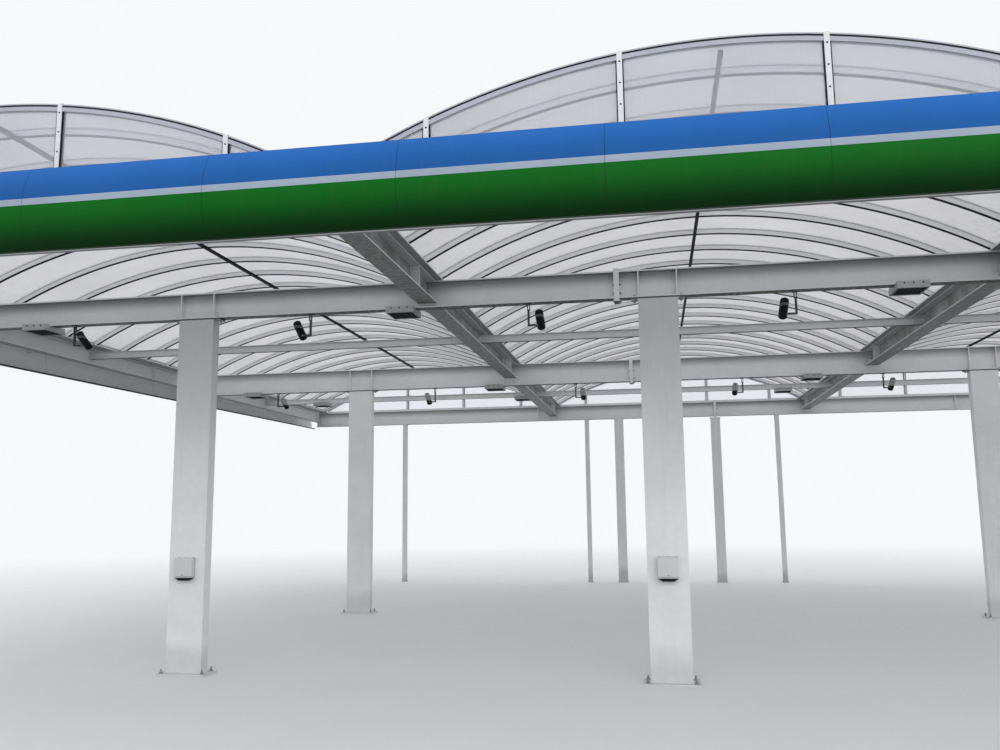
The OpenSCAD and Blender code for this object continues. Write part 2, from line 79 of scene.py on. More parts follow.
SIDES = ("left", "middle", "right")
COLUMN_X = [middle(f"column_front_{side}").x for side in SIDES]
VAULT_X = [middle(f"{side}_vault_sheet").x for side in SIDES]
LINES = ("left_edge_beam", "left_valley_beam", "right_valley_beam", "right_edge_beam")
LINE_X = [middle(name).x for name in LINES]
VALLEY_X = LINE_X[1:3]
DECK_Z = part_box("front_edge_beam")[1].z
GABLE_Y = middle("front_edge_beam").y
ROW_Y = [middle("column_front_left").y, middle("column_back_left").y]
REAR_Y = middle("rear_edge_beam_left").y
CROSS_Y = [GABLE_Y, *ROW_Y, REAR_Y]
ROW_Z = [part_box("column_front_left")[1].z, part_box("column_back_left")[1].z]
print("columns at", [round(x, 3) for x in COLUMN_X], "deck at", round(DECK_Z, 3))

# %% [markdown]
# A vault is a strip of a cylinder. Its box gives the width and the rise, and with the
# thickness of the sheet these fix the angle, the radius and the height of the axis. The
# angle stands on both sides of its formula, so it is improved in a few rounds.

# %% Work out the vault's arc
SHEET_T = 0.016
sheet_low, sheet_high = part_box("middle_vault_sheet")
half_width = (sheet_high.x - sheet_low.x) / 2
rise = sheet_high.z - sheet_low.z
HALF_ANGLE = 2 * math.atan(rise / half_width)
for _ in range(5):
    HALF_ANGLE = 2 * math.atan((rise - SHEET_T * math.cos(HALF_ANGLE)) / half_width)
VAULT_R = half_width / math.sin(HALF_ANGLE)
AXIS_Z = sheet_high.z - VAULT_R
print("vault radius", round(VAULT_R, 3), "half angle", round(math.degrees(HALF_ANGLE), 3))

# %% [markdown]
# Arched bars cross the vaults at equal steps. The first and the last one touch the ends of
# the node's box, so the others follow from their number.

# %% Places of the arched bars
BAR_COUNT, BAR_W, COVER_LAP, COVER_T = 23, 0.040, 0.004, 0.022
bars_low, bars_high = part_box("middle_vault_ribs")
bar_inset = BAR_W / 2 + COVER_LAP
BAR_Y = np.linspace(bars_low.y + bar_inset, bars_high.y - bar_inset, BAR_COUNT)
print("bars", round(BAR_Y[1] - BAR_Y[0], 4), "m apart")

# %% [markdown]
# The photograph was taken from the ground, a little left of the middle column, with a short
# lens that looks slightly up and to the left. A Blender camera looks down its own -Z, so it
# is rolled first, then raised from the ground to the beams, and turned to the left last.

# %% Place the camera
CAMERA_LEFT, CAMERA_AWAY, CAMERA_HEIGHT = 0.143, 13.262, 2.426
CAMERA_TURN, CAMERA_RISE, CAMERA_ROLL = 0.16709, 0.14773, -0.01111
FOCAL_PIXELS, PHOTO_WIDTH, FILM_WIDTH = 903.6, 1000, 36


def into_scene(name, data):
    """A new object, put into the scene."""
    made = bpy.data.objects.new(name, data)
    bpy.context.scene.collection.objects.link(made)
    return made


lens = bpy.data.cameras.new("photo_camera")
lens.sensor_width = FILM_WIDTH
lens.lens = FOCAL_PIXELS / PHOTO_WIDTH * FILM_WIDTH
lens.clip_start, lens.clip_end = 0.1, 1000
turned = Matrix.Rotation(CAMERA_TURN, 4, "Z")
raised = Matrix.Rotation(math.pi / 2 + CAMERA_RISE, 4, "X")
rolled = Matrix.Rotation(CAMERA_ROLL, 4, "Z")
place = Vector((COLUMN_X[1] - CAMERA_LEFT, ROW_Y[0] - CAMERA_AWAY, CAMERA_HEIGHT))
photo_camera = into_scene("photo_camera", lens)
photo_camera.matrix_world = Matrix.Translation(place) @ turned @ raised @ rolled
bpy.context.scene.camera = photo_camera
print("lens of", round(lens.lens, 2), "mm at", [round(v, 3) for v in place])

# %% [markdown]
# A material is a small graph. In one line, `put` adds a node to the graph that is being
# drawn, sets its plain values and joins the sockets that are given as inputs.

# %% Helpers for nodes
graph = {}


def draw_in(tree):
    """Clear a node tree and let the helpers add to it."""
    tree.nodes.clear()
    graph["tree"] = tree


def put(kind, attributes=None, **inputs):
    """A new node. Spaces in socket names are written as underscores, and numbers as s0, s1."""
    made = graph["tree"].nodes.new("ShaderNode" + kind)
    for key, value in (attributes or {}).items():
        setattr(made, key, value)
    for key, value in inputs.items():
        numbered = key[0] == "s" and key[1:].isdigit()
        socket = made.inputs[int(key[1:]) if numbered else key.replace("_", " ")]
        if isinstance(value, bpy.types.NodeSocket):
            graph["tree"].links.new(value, socket)
        else:
            socket.default_value = value
    return made


print("graphs being drawn:", len(graph))

# %% [markdown]
# Sums and colours get helpers of their own, because the materials are made of them.
# `product`, `total` and their like take any number of values.

# %% Helpers for sums and colours


def maths(operation, first, second=0.0, clamp=False):
    """The result of one sum."""
    node = put("Math", {"operation": operation, "use_clamp": clamp}, s0=first, s1=second)
    return node.outputs[0]


def chained(operation):
    """A function that joins its values by one operation, from left to right."""

    def join(first, *others):
        for other in others:
            first = maths(operation, first, other)
        return first

    return join


product, total, minus = chained("MULTIPLY"), chained("ADD"), chained("SUBTRACT")
lowest, highest = chained("MINIMUM"), chained("MAXIMUM")


def ramp(value, low, high, out_low=0.0, out_high=1.0):
    """A smooth step of value from low to high."""
    made = put(
        "MapRange", {"interpolation_type": "SMOOTHSTEP"},
        Value=value, From_Min=low, From_Max=high, To_Min=out_low, To_Max=out_high,
    )
    return made.outputs["Result"]


def blend_colour(factor, first, second, kind="MIX"):
    """Two colours mixed or multiplied."""
    kinds = {"data_type": "RGBA", "blend_type": kind}
    return put("Mix", kinds, s0=factor, s6=first, s7=second).outputs[2]


def tinted(colour, tone):
    """A colour made lighter or darker."""
    return blend_colour(1.0, colour, tone, "MULTIPLY")


def layered(colour, *layers):
    """A colour under layers, each a mask and a colour of its own."""
    for mask, over in layers:
        colour = blend_colour(mask, colour, (*over, 1))
    return colour


print("helpers for sums:", len((product, total, minus, lowest, highest)))

# %% [markdown]
# Patterns come from Blender's noise texture, read at the surface's own place in metres. A
# place can be stretched first, which turns round clouds into long streaks. Most of the noise
# lies between the two numbers of SPREAD, so that is where its ramps start and end.

# %% Helpers for patterns
SPREAD = (0.3, 0.7)


def own_place():
    return put("TexCoord").outputs["Object"]


def split(vector=None):
    """X, Y and Z of a vector, or of the surface's own place."""
    return put("SeparateXYZ", s0=own_place() if vector is None else vector).outputs


def way_faced():
    """X, Y and Z of the way a face looks. Z is 1 for up, 0 for level and -1 for down."""
    return split(put("NewGeometry").outputs["Normal"])


def distance_to(value, *places):
    """How far a value is from the nearest of some places."""
    return lowest(*[maths("ABSOLUTE", minus(value, at)) for at in places])


def stretched(place, scale):
    return put("Mapping", Vector=place, Scale=scale).outputs[0]


def noise(place, scale, detail=4.0, rough=0.5):
    made = put("TexNoise", Vector=place, Scale=scale, Detail=detail, Roughness=rough)
    return made.outputs["Fac"]


print("pattern helpers ready")

# %% [markdown]
# An effect that several materials share is built once as a node group. Its inputs are the
# knobs, and its outputs are only a colour, a roughness and a height, so each material keeps
# its own shader.

# %% Helpers for node groups


def new_group(name, inputs, outputs):
    """Start a node group with named sockets. Returns what goes in and what comes out."""
    tree = bpy.data.node_groups.new(name, "ShaderNodeTree")
    draw_in(tree)
    for socket_name, value in inputs.items():
        kind = "NodeSocketFloat" if isinstance(value, (int, float)) else "NodeSocketColor"
        made = tree.interface.new_socket(socket_name, in_out="INPUT", socket_type=kind)
        made.default_value = value
    for socket_name, kind in outputs.items():
        socket_type = "NodeSocket" + kind
        tree.interface.new_socket(socket_name, in_out="OUTPUT", socket_type=socket_type)
    given = tree.nodes.new("NodeGroupInput").outputs
    return given, tree.nodes.new("NodeGroupOutput").inputs


def close_group(result, **values):
    """Join the finished values to the group's outputs."""
    tree = graph["tree"]
    for socket_name, value in values.items():
        tree.links.new(value, result[socket_name])
    print(tree.name, "has", len(tree.nodes), "nodes")


def use_group(name, **inputs):
    return put("Group", {"node_tree": bpy.data.node_groups[name]}, **inputs).outputs


GREY = (0.7, 0.7, 0.7, 1)
SURFACE = {"Colour": "Color", "Roughness": "Float", "Height": "Float"}
print("group outputs:", list(SURFACE))

# %% [markdown]
# Outdoor paint is never one colour. Rain leaves streaks on upright faces, dust lies on what
# faces up, soot and painted shade darken what faces down, and wheels splash the lowest half
# metre. All the painted parts share this, so it is one group, and each material says how much it
# has seen.

# %% Node group: weathered paint with painted shade
STREAK, DUST = (0.32, 0.32, 0.30), (0.40, 0.38, 0.34)
SOOT_AND_SHADE, SPLASH = (0.045, 0.049, 0.042), (0.22, 0.20, 0.18)
given, result = new_group(
    "weathered_shaded_paint",
    {"Colour": GREY, "Streaks": 0.25, "Dust": 0.3, "Soot": 0.4, "Splash": 0.0, "Gloss": 0.45},
    SURFACE,
)
place, facing = own_place(), way_faced()["Z"]
clouds = noise(place, 0.9, 5.0, 0.6)
mottle = noise(place, 14.0)
peel = noise(place, 120.0, 2.0)
runs = noise(stretched(place, (9.0, 9.0, 0.35)), 1.6, 6.0, 0.65)
upright = ramp(maths("ABSOLUTE", facing), 0.6, 0.2)
streak = product(ramp(runs, 0.5, 0.78), upright, given["Streaks"])
dust_cover = ramp(clouds, 0.3, 0.6, 0.5, 1.0)
dust = product(ramp(facing, 0.5, 0.9), dust_cover, given["Dust"])
# Soot and painted shade: what faces down is darker.
soot_shade_cover = ramp(mottle, 0.2, 0.7, 0.8, 1.0)
soot = product(ramp(facing, -0.5, -0.9), soot_shade_cover, given["Soot"])
above_splash = minus(split(place)["Z"], ramp(clouds, *SPREAD, 0.25, 0.7))
splash_cover = ramp(mottle, *SPREAD, 0.75, 1.0)
splash = product(ramp(above_splash, 0.1, -0.35), splash_cover, given["Splash"])
tone = ramp(clouds, *SPREAD, 0.95, 1.03)
tone = total(tone, ramp(mottle, *SPREAD, -0.015, 0.015))
base = tinted(given["Colour"], tone)
base = layered(base, (streak, STREAK), (dust, DUST), (soot, SOOT_AND_SHADE), (splash, SPLASH))
worn = product(total(dust, streak, splash), 0.4)
rough = total(given["Gloss"], ramp(mottle, *SPREAD, -0.05, 0.07))
close_group(
    result, Colour=base, Roughness=maths("ADD", rough, worn, clamp=True),
    Height=total(product(peel, 0.4), mottle),
)

# %% [markdown]
# Bare aluminium and zinc show the direction in which they were drawn or dipped: fine lines
# along the bar, and cloudy grey patches. The group can also darken what faces down with
# painted shade, which makes the undersides of the bars and trims darker, and those of the arched
# bars nearly black.

# %% Node group: drawn metal with painted shade
given, result = new_group(
    "drawn_shaded_metal",
    {"Colour": GREY, "Lines": 0.3, "Patches": 0.3, "Gloss": 0.4, "Underside": 1.0},
    SURFACE,
)
place = own_place()
lines = noise(stretched(place, (2.0, 160.0, 160.0)), 1.0, 3.0)
cells = put("TexVoronoi", {"feature": "SMOOTH_F1"}, Vector=place, Scale=30.0)
cloudy = noise(place, 2.2, 5.0)
patch_tone = product(minus(cloudy, 0.5), given["Patches"])
line_tone = product(minus(lines, 0.5), given["Lines"])
# Painted shade: what faces down is darker.
below = ramp(way_faced()["Z"], -0.5, -0.85)
darker = product(below, minus(given["Underside"], 1.0))
base = tinted(given["Colour"], total(1.0, patch_tone, line_tone))
base = tinted(base, total(1.0, darker))
rough = total(given["Gloss"], ramp(cloudy, *SPREAD, -0.06, 0.12))
cell_rough = ramp(cells.outputs["Distance"], 0.0, 0.5, 0.05, -0.03)
rough = maths("ADD", rough, cell_rough, clamp=True)
close_group(result, Colour=base, Roughness=rough, Height=lines)

# %% [markdown]
# The fascia panels are coloured on the outside and pale on the back. The outside faces away
# from the middle of the canopy, so the surface's direction against its own place tells the
# two apart. The group puts out a mask.

# %% Node group: back of a fascia panel
PANEL_ZONE = 0.26
SIDE_PANELS_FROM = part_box("fascia_blue_band")[1].x - PANEL_ZONE
given, result = new_group("panel_back", {"Sharpness": 0.1}, {"Mask": "Float"})
face, spot = way_faced(), split()
inward = product(face["X"], maths("SIGN", spot["X"]))
on_side = ramp(maths("ABSOLUTE", spot["X"]), SIDE_PANELS_FROM, SIDE_PANELS_FROM + 0.01)
edge = total(given["Sharpness"], 0.05)
behind = product(ramp(face["Y"], 0.05, edge), minus(1.0, on_side))
side_back = product(ramp(product(inward, -1.0), 0.05, edge), on_side)
close_group(result, Mask=highest(behind, side_back))

# %% [markdown]
# The roof sheet is a hollow board with thin walls inside, which show as fine lines. They run
# over the arc in the vaults and upright in the gables, so the group can count them along the
# canopy or across it. Dust gathers in the lowest part, near the valleys.

# %% Node group: fluted sheet
DUST_LOW, DUST_HIGH, SHEET_DIRT = DECK_Z + 0.1, DECK_Z + 0.8, (0.42, 0.42, 0.38)
given, result = new_group(
    "fluted_sheet",
    {"Colour": GREY, "Flutes": 30.0, "Across": 0.0, "Depth": 0.05, "Dirt": 0.2},
    SURFACE,
)
place = own_place()
spot = split(place)
along = product(spot["Y"], minus(1.0, given["Across"]))
across = product(spot["X"], given["Across"])
turns = product(total(along, across), given["Flutes"])
wall = ramp(maths("PINGPONG", turns, 1.0), 0.75, 1.0)
specks = noise(place, 9.0, 6.0, 0.7)
low = ramp(spot["Z"], DUST_HIGH, DUST_LOW, 0.3, 1.0)
dirty = product(ramp(specks, 0.4, 0.75), low, given["Dirt"])
tone = ramp(noise(place, 0.7), *SPREAD, 0.96, 1.02)
tone = minus(tone, product(wall, given["Depth"]))
base = layered(tinted(given["Colour"], tone), (dirty, SHEET_DIRT))
rough = maths("ADD", 0.35, product(dirty, 0.6), clamp=True)
close_group(result, Colour=base, Roughness=rough, Height=wall)

# %% [markdown]
# Now the finishes. Each material holds its own shader and takes its changing colour,
# roughness and height from a group. Numbers that are the same all over, such as the shine,
# sit on the shader itself.

# %% Helpers for materials
MATERIALS = {}


def new_material(name):
    """Start a material, which is kept under its name."""
    MATERIALS[name] = bpy.data.materials.new(name)
    MATERIALS[name].use_nodes = True
    draw_in(MATERIALS[name].node_tree)


def finish_with(shader):
    """Join the shader to the output of the newest material."""
    put("OutputMaterial", Surface=shader)
    print(list(MATERIALS)[-1], "has", len(graph["tree"].nodes), "nodes")


def mix_shaders(factor, first, second):
    return put("MixShader", s0=factor, s1=first, s2=second).outputs[0]


def shaded(look, bump, distance, **settings):
    """A Principled shader fed by a group's colour, roughness and height."""
    bumped = put("Bump", Strength=bump, Distance=distance, Height=look["Height"])
    return put(
        "BsdfPrincipled",
        Base_Color=look["Colour"], Roughness=look["Roughness"],
        Normal=bumped.outputs["Normal"], **settings,
    ).outputs["BSDF"]


print("material helpers ready")

# %% [markdown]
# The frame, the columns and the housings are painted. They differ in colour, in shine, in
# how much rain, dust and splashed dirt has reached them and in how much soot and painted shade
# darkens what faces down, so one function makes them all from a row of numbers: shine,
# streaks, dust, soot and shade, splash and gloss.

# %% Paints
COARSE, SMOOTH = (0.2, 0.0008), (0.1, 0.0005)


def worn_shaded_paint(colour, streaks, dust, soot, splash, gloss):
    """The look of paint that has stood outside, with soot and painted shade on what faces down.
    """
    return use_group(
        "weathered_shaded_paint", Colour=colour,
        Streaks=streaks, Dust=dust, Soot=soot, Splash=splash, Gloss=gloss,
    )


def paint(colour, shine, *wear, relief=COARSE):
    """Cover a material with worn paint, soot and painted shade."""
    look = worn_shaded_paint(colour, *wear)
    finish_with(shaded(look, *relief, Specular_IOR_Level=shine))


for name, colour, *numbers in (
    ("post_steel", (0.88, 0.885, 0.89), 0.04, 0.1, 0.3, 0.3, 0.45, 0.42),
    ("eaves_rail", (0.85, 0.86, 0.87), 0.04, 0.1, 0.3, 0.0, 0.0, 0.45),
    ("white_housing", (0.47, 0.48, 0.485), 0.02, 0.12, 0.35, 0.95, 0.0, 0.4),
    ("bracket_steel", (0.075, 0.078, 0.08), 0.04, 0.15, 0.3, 0.2, 0.0, 0.45),
    ("dispenser_plastic", (0.70, 0.71, 0.72), 0.5, 0.1, 0.2, 0.1, 0.0, 0.32),
    ("ridge_bar", (0.010, 0.011, 0.012), 0.05, 0.1, 0.3, 0.5, 0.0, 0.6),
    ("seal_rubber", (0.016, 0.017, 0.018), 0.1, 0.1, 0.25, 0.0, 0.0, 0.68),
):
    new_material(name)
    paint((*colour, 1), *numbers)

# %% [markdown]
# The frame has the same paint, with habits of its own. Low undersides get the most soot and
# painted shade. Painted shade also darkens the top of a cross beam's web, just under the
# flange, found from the height and from the distance to the nearest cross beam. The webs of
# the valley beams are darkened all over with mottled stains and painted shade, and painted
# light makes the paint lighter at the open back.

# %% Paint of the frame
WEB_ZONE, SHADE_DEPTH, SHADE_FULL, FLANGE = 0.085, 0.24, 0.04, 0.020
WEB_HALF, VALLEY_REACH = 0.006, 0.2
new_material("frame_steel")
spot = split()
depth = minus(DECK_Z, spot["Z"])
near_web = ramp(distance_to(spot["Y"], *CROSS_Y), WEB_ZONE + 0.01, WEB_ZONE)
below_flange = ramp(depth, FLANGE - 0.001, FLANGE)
# Painted shade on the top of each cross beam's web, just under the top flange.
shade = product(near_web, ramp(depth, SHADE_DEPTH, SHADE_FULL), below_flange)
from_valley = distance_to(spot["X"], *VALLEY_X)
web_mottle = ramp(noise(own_place(), 1.7, 6.0, 0.65), 0.35, 0.65, 0.55, 1.0)
web_foot = DECK_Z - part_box("left_valley_beam")[0].z - FLANGE
# The valley webs: mottled stains with painted shade.
web_stain_and_shade = product(
    ramp(from_valley, WEB_HALF + 0.008, WEB_HALF + 0.002), web_mottle,
    below_flange, ramp(depth, web_foot, web_foot - 0.001),
)
beam_depth = DECK_Z - ROW_Z[0]
tie_depth = DECK_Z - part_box("middle_tie_beams")[0].z
# Soot and painted shade, strongest on the undersides that hang lowest.
soot = highest(
    ramp(depth, 0.05, 0.1, 0.35, 0.78),
    ramp(depth, beam_depth - 0.02, beam_depth - 0.001),
    ramp(distance_to(depth, tie_depth), 0.02, 0.01),
)
# Painted light: the frame is lighter at the open back.
to_back = ramp(spot["Y"], ROW_Y[1] - 1.2, ROW_Y[1] - 0.3)
lit_colour = layered((0.73, 0.74, 0.745, 1), (to_back, (0.88, 0.885, 0.89)))
shade_colour = layered((0.36, 0.37, 0.37, 1), (to_back, (0.50, 0.51, 0.51)))
colour = blend_colour(shade, lit_colour, shade_colour)
colour = layered(colour, (web_stain_and_shade, (0.27, 0.275, 0.265)))
streaks = ramp(from_valley, VALLEY_REACH, VALLEY_REACH - 0.05, 0.06, 0.4)
paint(colour, 0.03, streaks, 0.4, soot, 0.0, 0.45)

# %% [markdown]
# The columns are the same grey, with painted light and shade. In the front row a painted
# shadow of the fascia makes them greyer towards the top, and painted light makes them
# lighter low down. The back row is lighter all over with painted light. A painted shadow at
# the edge of the cap plate draws a dark line right under the beam.

# %% Paint of the columns
SHADOW_FROM, SHADOW_FULL, BRIGHT_FROM, BRIGHT_FULL, CAP_EDGE = 3.2, 5.3, 4.0, 2.0, 0.024
BETWEEN_ROWS = sum(ROW_Y) / 2


def row_of(spot):
    """A mask that is 1 in the back row, and the height of the beam's underside."""
    in_back = ramp(spot["Y"], BETWEEN_ROWS - 0.1, BETWEEN_ROWS + 0.1)
    return in_back, total(ROW_Z[0], product(in_back, ROW_Z[1] - ROW_Z[0]))


new_material("column_steel")
spot = split()
in_back, top = row_of(spot)
in_front = minus(1.0, in_back)
# Painted shadow of the fascia at the top of the front columns, and painted light low down.
top_shadow = product(ramp(spot["Z"], SHADOW_FROM, SHADOW_FULL), in_front)
painted_light = ramp(spot["Z"], BRIGHT_FROM, BRIGHT_FULL)
front = layered((0.75, 0.755, 0.755, 1), (painted_light, (0.90, 0.905, 0.90)))
# Painted shadow along the edge of the cap plate.
cap = ramp(minus(top, spot["Z"]), CAP_EDGE + 0.001, CAP_EDGE)
# Painted light: the back row is lighter than the front row.
colour = layered(
    blend_colour(in_front, (0.93, 0.935, 0.935, 1), front),
    (top_shadow, (0.58, 0.585, 0.585)), (cap, (0.10, 0.105, 0.10)),
)
paint(colour, 0.05, 0.08, 0.3, 0.4, 0.3, 0.42)

# %% [markdown]
# The security cameras are black, with a painted highlight, a greyer band where the sun shield
# overlaps. Those in the back row look pale except at the lens end, so their colour changes
# with the height.

# %% Camera skins
CAMERA_DROP, SKIN_EDGE = 0.285, 0.006
SHIELD_LOW, SHIELD_HIGH, PALE_FROM = 0.052, 0.082, -0.012
new_material("dark_housing")
spot = split()
in_back, under = row_of(spot)
above = minus(spot["Z"], minus(under, CAMERA_DROP))
# Painted highlight: a greyer band where the sun shield overlaps.
band = product(
    ramp(above, SHIELD_LOW, SHIELD_LOW + SKIN_EDGE),
    ramp(above, SHIELD_HIGH + SKIN_EDGE, SHIELD_HIGH),
)
pale = product(in_back, ramp(above, PALE_FROM, PALE_FROM + SKIN_EDGE))
colour = layered(
    (0.008, 0.009, 0.010, 1), (band, (0.14, 0.142, 0.14)), (pale, (0.42, 0.43, 0.43))
)
paint(colour, 0.06, 0.1, 0.3, 0.0, 0.0, 0.42, relief=SMOOTH)

# %% [markdown]
# Bars, gutters, trims and bolts are bare or plated metal. They look more like dull grey paint
# than like a mirror after a few winters, so they are only partly metallic. A row gives how
# metallic, shine, lines, patches, gloss and how light the underside stays under its painted
# shade.

# %% Metals


def metal(colour, metallic, shine, lines, patches, gloss, underside):
    """Cover a material with metal that shows how it was drawn, with painted shade underneath."""
    look = use_group(
        "drawn_shaded_metal", Colour=colour,
        Lines=lines, Patches=patches, Gloss=gloss, Underside=underside,
    )
    settings = {"Metallic": metallic, "Specular_IOR_Level": shine}
    finish_with(shaded(look, 0.12, 0.0003, **settings))


for name, colour, *numbers in (
    ("glazing_bar", (0.97, 0.975, 0.985), 0.0, 0.05, 0.04, 0.04, 0.55, 0.01),
    ("gutter", (0.50, 0.515, 0.525), 0.35, 0.5, 0.1, 0.3, 0.5, 0.55),
    ("bolt_zinc", (0.30, 0.305, 0.31), 0.6, 0.5, 0.1, 0.5, 0.45, 0.6),
):
    new_material(name)
    metal((*colour, 1), *numbers)

# %% [markdown]
# The fascia panels are coil-coated steel: an even, smooth paint. Their backs carry only pale
# primer, so the panel_back mask chooses between the two colours. On the outside, painted
# shade darkens what faces down and painted light brightens what faces up.

# %% Fascia panels
for name, colour in (
    ("fascia_blue", (0.016, 0.128, 0.43, 1)),
    ("fascia_white", (0.42, 0.50, 0.60, 1)),
    ("fascia_green", (0.003, 0.165, 0.012, 1)),
):
    new_material(name)
    outside = worn_shaded_paint(colour, 0.03, 0.12, 0.0, 0.0, 0.48)
    inside = worn_shaded_paint((0.95, 0.955, 0.95, 1), 0.06, 0.3, 0.1, 0.0, 0.55)
    facing = way_faced()["Z"]
    # Painted shade where the panel faces down, and painted light where it faces up.
    down_facing_shade = ramp(facing, 0.0, -0.55, 1.0, 0.16)
    painted_light = ramp(facing, 0.1, 0.55, 0.9, 1.15)
    front = tinted(outside["Colour"], product(down_facing_shade, painted_light))
    back = use_group("panel_back")["Mask"]
    look = {
        "Colour": blend_colour(back, front, inside["Colour"]),
        "Roughness": outside["Roughness"],
        "Height": outside["Height"],
    }
    finish_with(shaded(look, 0.03, 0.0005, Specular_IOR_Level=0.1))

# %% [markdown]
# In the gables the white uprights run over the arched edge bar, and that bar is dull
# aluminium, with a violet tint painted in as a reflection of the sky. Both belong to one node,
# so a mask picks out the arch by its distance from the vault's axis, leaving out what stands
# proud of it.

# %% Gable frames
ARCH_H, ARCH_PROUD, FRAME_REACH = 0.062, 0.0325, 0.0345
given, result = new_group("gable_arch", {"Radius": VAULT_R - ARCH_H}, {"Mask": "Float"})
spot = split()
vault_step = VAULT_X[2] - VAULT_X[1]
turns = maths("ROUND", maths("DIVIDE", spot["X"], vault_step))
off_x = minus(spot["X"], product(turns, vault_step))
off_z = minus(spot["Z"], AXIS_Z)
square = total(product(off_x, off_x), product(off_z, off_z))
past = minus(maths("SQRT", square), given["Radius"])
flush = ramp(distance_to(spot["Y"], GABLE_Y, REAR_Y), FRAME_REACH, ARCH_PROUD)
close_group(result, Mask=product(ramp(past, -0.001, 0.001), flush))

new_material("gable_frame")
arch = use_group("gable_arch")["Mask"]
# The arch's violet tint is a painted reflection of the sky.
colour = layered((0.86, 0.865, 0.87, 1), (arch, (0.52, 0.53, 0.60)))
paint(colour, 0.15, 0.1, 0.3, 0.3, 0.0, 0.45, relief=SMOOTH)

# %% [markdown]
# The edge strip under the fascia is painted dark green above, like the panel over it, and
# shows bare grey metal along its lower edge.

# %% Edge strip under the fascia
STRIP_GREY = 0.009
new_material("fascia_trim")
above = minus(split()["Z"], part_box("fascia_bottom_trim")[0].z)
grey = ramp(above, STRIP_GREY + 0.002, STRIP_GREY)
colour = layered((0.022, 0.036, 0.022, 1), (grey, (0.34, 0.345, 0.35)))
metal(colour, 0.0, 0.15, 0.15, 0.1, 0.5, 0.7)

# %% [markdown]
# Light comes down through the vaults, so the sheet can't be plain white. A translucent
# shader scatters the daylight behind it, a little transparent shader lets the bars show
# dimly through the gables, and a Principled shader adds the reflection of the surface.

# %% Translucent sheets
for name, colour, clear, passing, dirt, across, depth in (
    ("vault_sheet", (0.855, 0.85, 0.865, 1), 0.16, 0.85, 0.2, 0.0, 0.05),
    ("gable_sheet", (0.95, 0.965, 1.0, 1), 0.66, 0.78, 0.0, 1.0, 0.02),
):
    new_material(name)
    look = use_group("fluted_sheet", Colour=colour, Across=across, Depth=depth, Dirt=dirt)
    surface = shaded(look, 0.15, 0.001, Specular_IOR_Level=0.35)
    through = put("BsdfTranslucent", Color=look["Colour"]).outputs["BSDF"]
    window = put("BsdfTransparent", Color=(0.985, 0.99, 1.0, 1)).outputs["BSDF"]
    body = mix_shaders(passing, surface, through)
    finish_with(mix_shaders(clear, body, window))

# %% [markdown]
# The downlights have a dark glass pane with a faint grid behind it, and the cameras have the
# same glass. Counting back and forth along X and along Y gives the thin lines of the grid.

# %% Dark glass
LOUVRES = 30.0
new_material("light_lens")
spot = split()
grid = highest(*[
    ramp(maths("PINGPONG", product(spot[axis], LOUVRES), 1.0), 0.8, 0.95)
    for axis in "XY"
])
smear = noise(own_place(), 7.0)
look = {
    "Colour": layered((0.030, 0.032, 0.034, 1), (grid, (0.085, 0.09, 0.095))),
    "Roughness": ramp(smear, 0.3, 0.8, 0.18, 0.34),
    "Height": grid,
}
finish_with(shaded(look, *SMOOTH, Specular_IOR_Level=0.0))
print("materials in all:", len(MATERIALS))

# %% [markdown]
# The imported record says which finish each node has. Reading it there keeps this list out of
# the script, and a node that is added later gets its finish by itself.

# %% Give the steel its finishes
for part in frame["record"]["subparts"]:
    mesh = nodes[part["node"]].data
    mesh.materials.clear()
    finish = "gable_frame" if "gable_frames" in part["node"] else part["material_slot"]
    mesh.materials.append(MATERIALS[finish])

# %% [markdown]
# Small parts are made as bare corner points and faces first, because thousands of them are
# quick to copy that way. A shape is a pair: an array of points and a list of faces. Turned
# parts, plates and strips are all rings of points, one after the other, with faces round them.

# %% Shapes of small parts


def wrap(points, sides):
    """A closed solid round rings of equally many points."""
    count = len(points)
    faces = [tuple(reversed(range(sides))), tuple(range(count - sides, count))]
    for start, k in each_of(range(0, count - sides, sides), range(sides)):
        a, b = start + k, start + (k + 1) % sides
        faces.append((a, b, b + sides, a + sides))
    return points, faces


def lathe(profile, sides):
    """A solid turned about Z from (radius, z) pairs, bottom first."""
    turns = np.arange(sides) * 2 * math.pi / sides
    unit = np.stack([np.cos(turns), np.sin(turns), np.zeros(sides)], 1)
    return wrap(np.concatenate([unit * radius + (0, 0, z) for radius, z in profile]), sides)


def block(low, high, cut=0.0):
    """A box between two corners, its upright edges cut off by a little."""
    (x0, y0, z0), (x1, y1, z1) = low, high
    outline = [(x0, y0), (x1, y0), (x1, y1), (x0, y1)]
    if cut:
        outline = [
            (x0 + cut, y0), (x1 - cut, y0), (x1, y0 + cut), (x1, y1 - cut),
            (x1 - cut, y1), (x0 + cut, y1), (x0, y1 - cut), (x0, y0 + cut),
        ]
    points = [(x, y, z) for z in (z0, z1) for x, y in outline]
    return wrap(np.array(points, dtype=float), len(outline))


def together(*shapes):
    """Several shapes as one."""
    points, faces, count = [], [], 0
    for shape_points, shape_faces in shapes:
        points.append(shape_points)
        faces += [tuple(k + count for k in face) for face in shape_faces]
        count += len(shape_points)
    return np.concatenate(points), faces


def triangles(shape):
    return sum(len(face) - 2 for face in shape[1])


print("a block has", triangles(block((0, 0, 0), (1, 1, 1))), "triangles")

# %% [markdown]
# Seals follow the vault, and strips follow the fascia. Such a strip is a small rectangle
# carried along an arc in even steps, fine enough for a smooth line.

# %% Strips along an arc
ARC_STEPS = 41


def arc(r0, r1, half_width, turns):
    """A strip between two radii, carried round the Y axis. Turn 0 is the top."""
    corners = [(r0, -half_width), (r0, half_width), (r1, half_width), (r1, -half_width)]
    points = [(r * math.sin(t), dy, r * math.cos(t)) for t in turns for r, dy in corners]
    return wrap(np.array(points), 4)


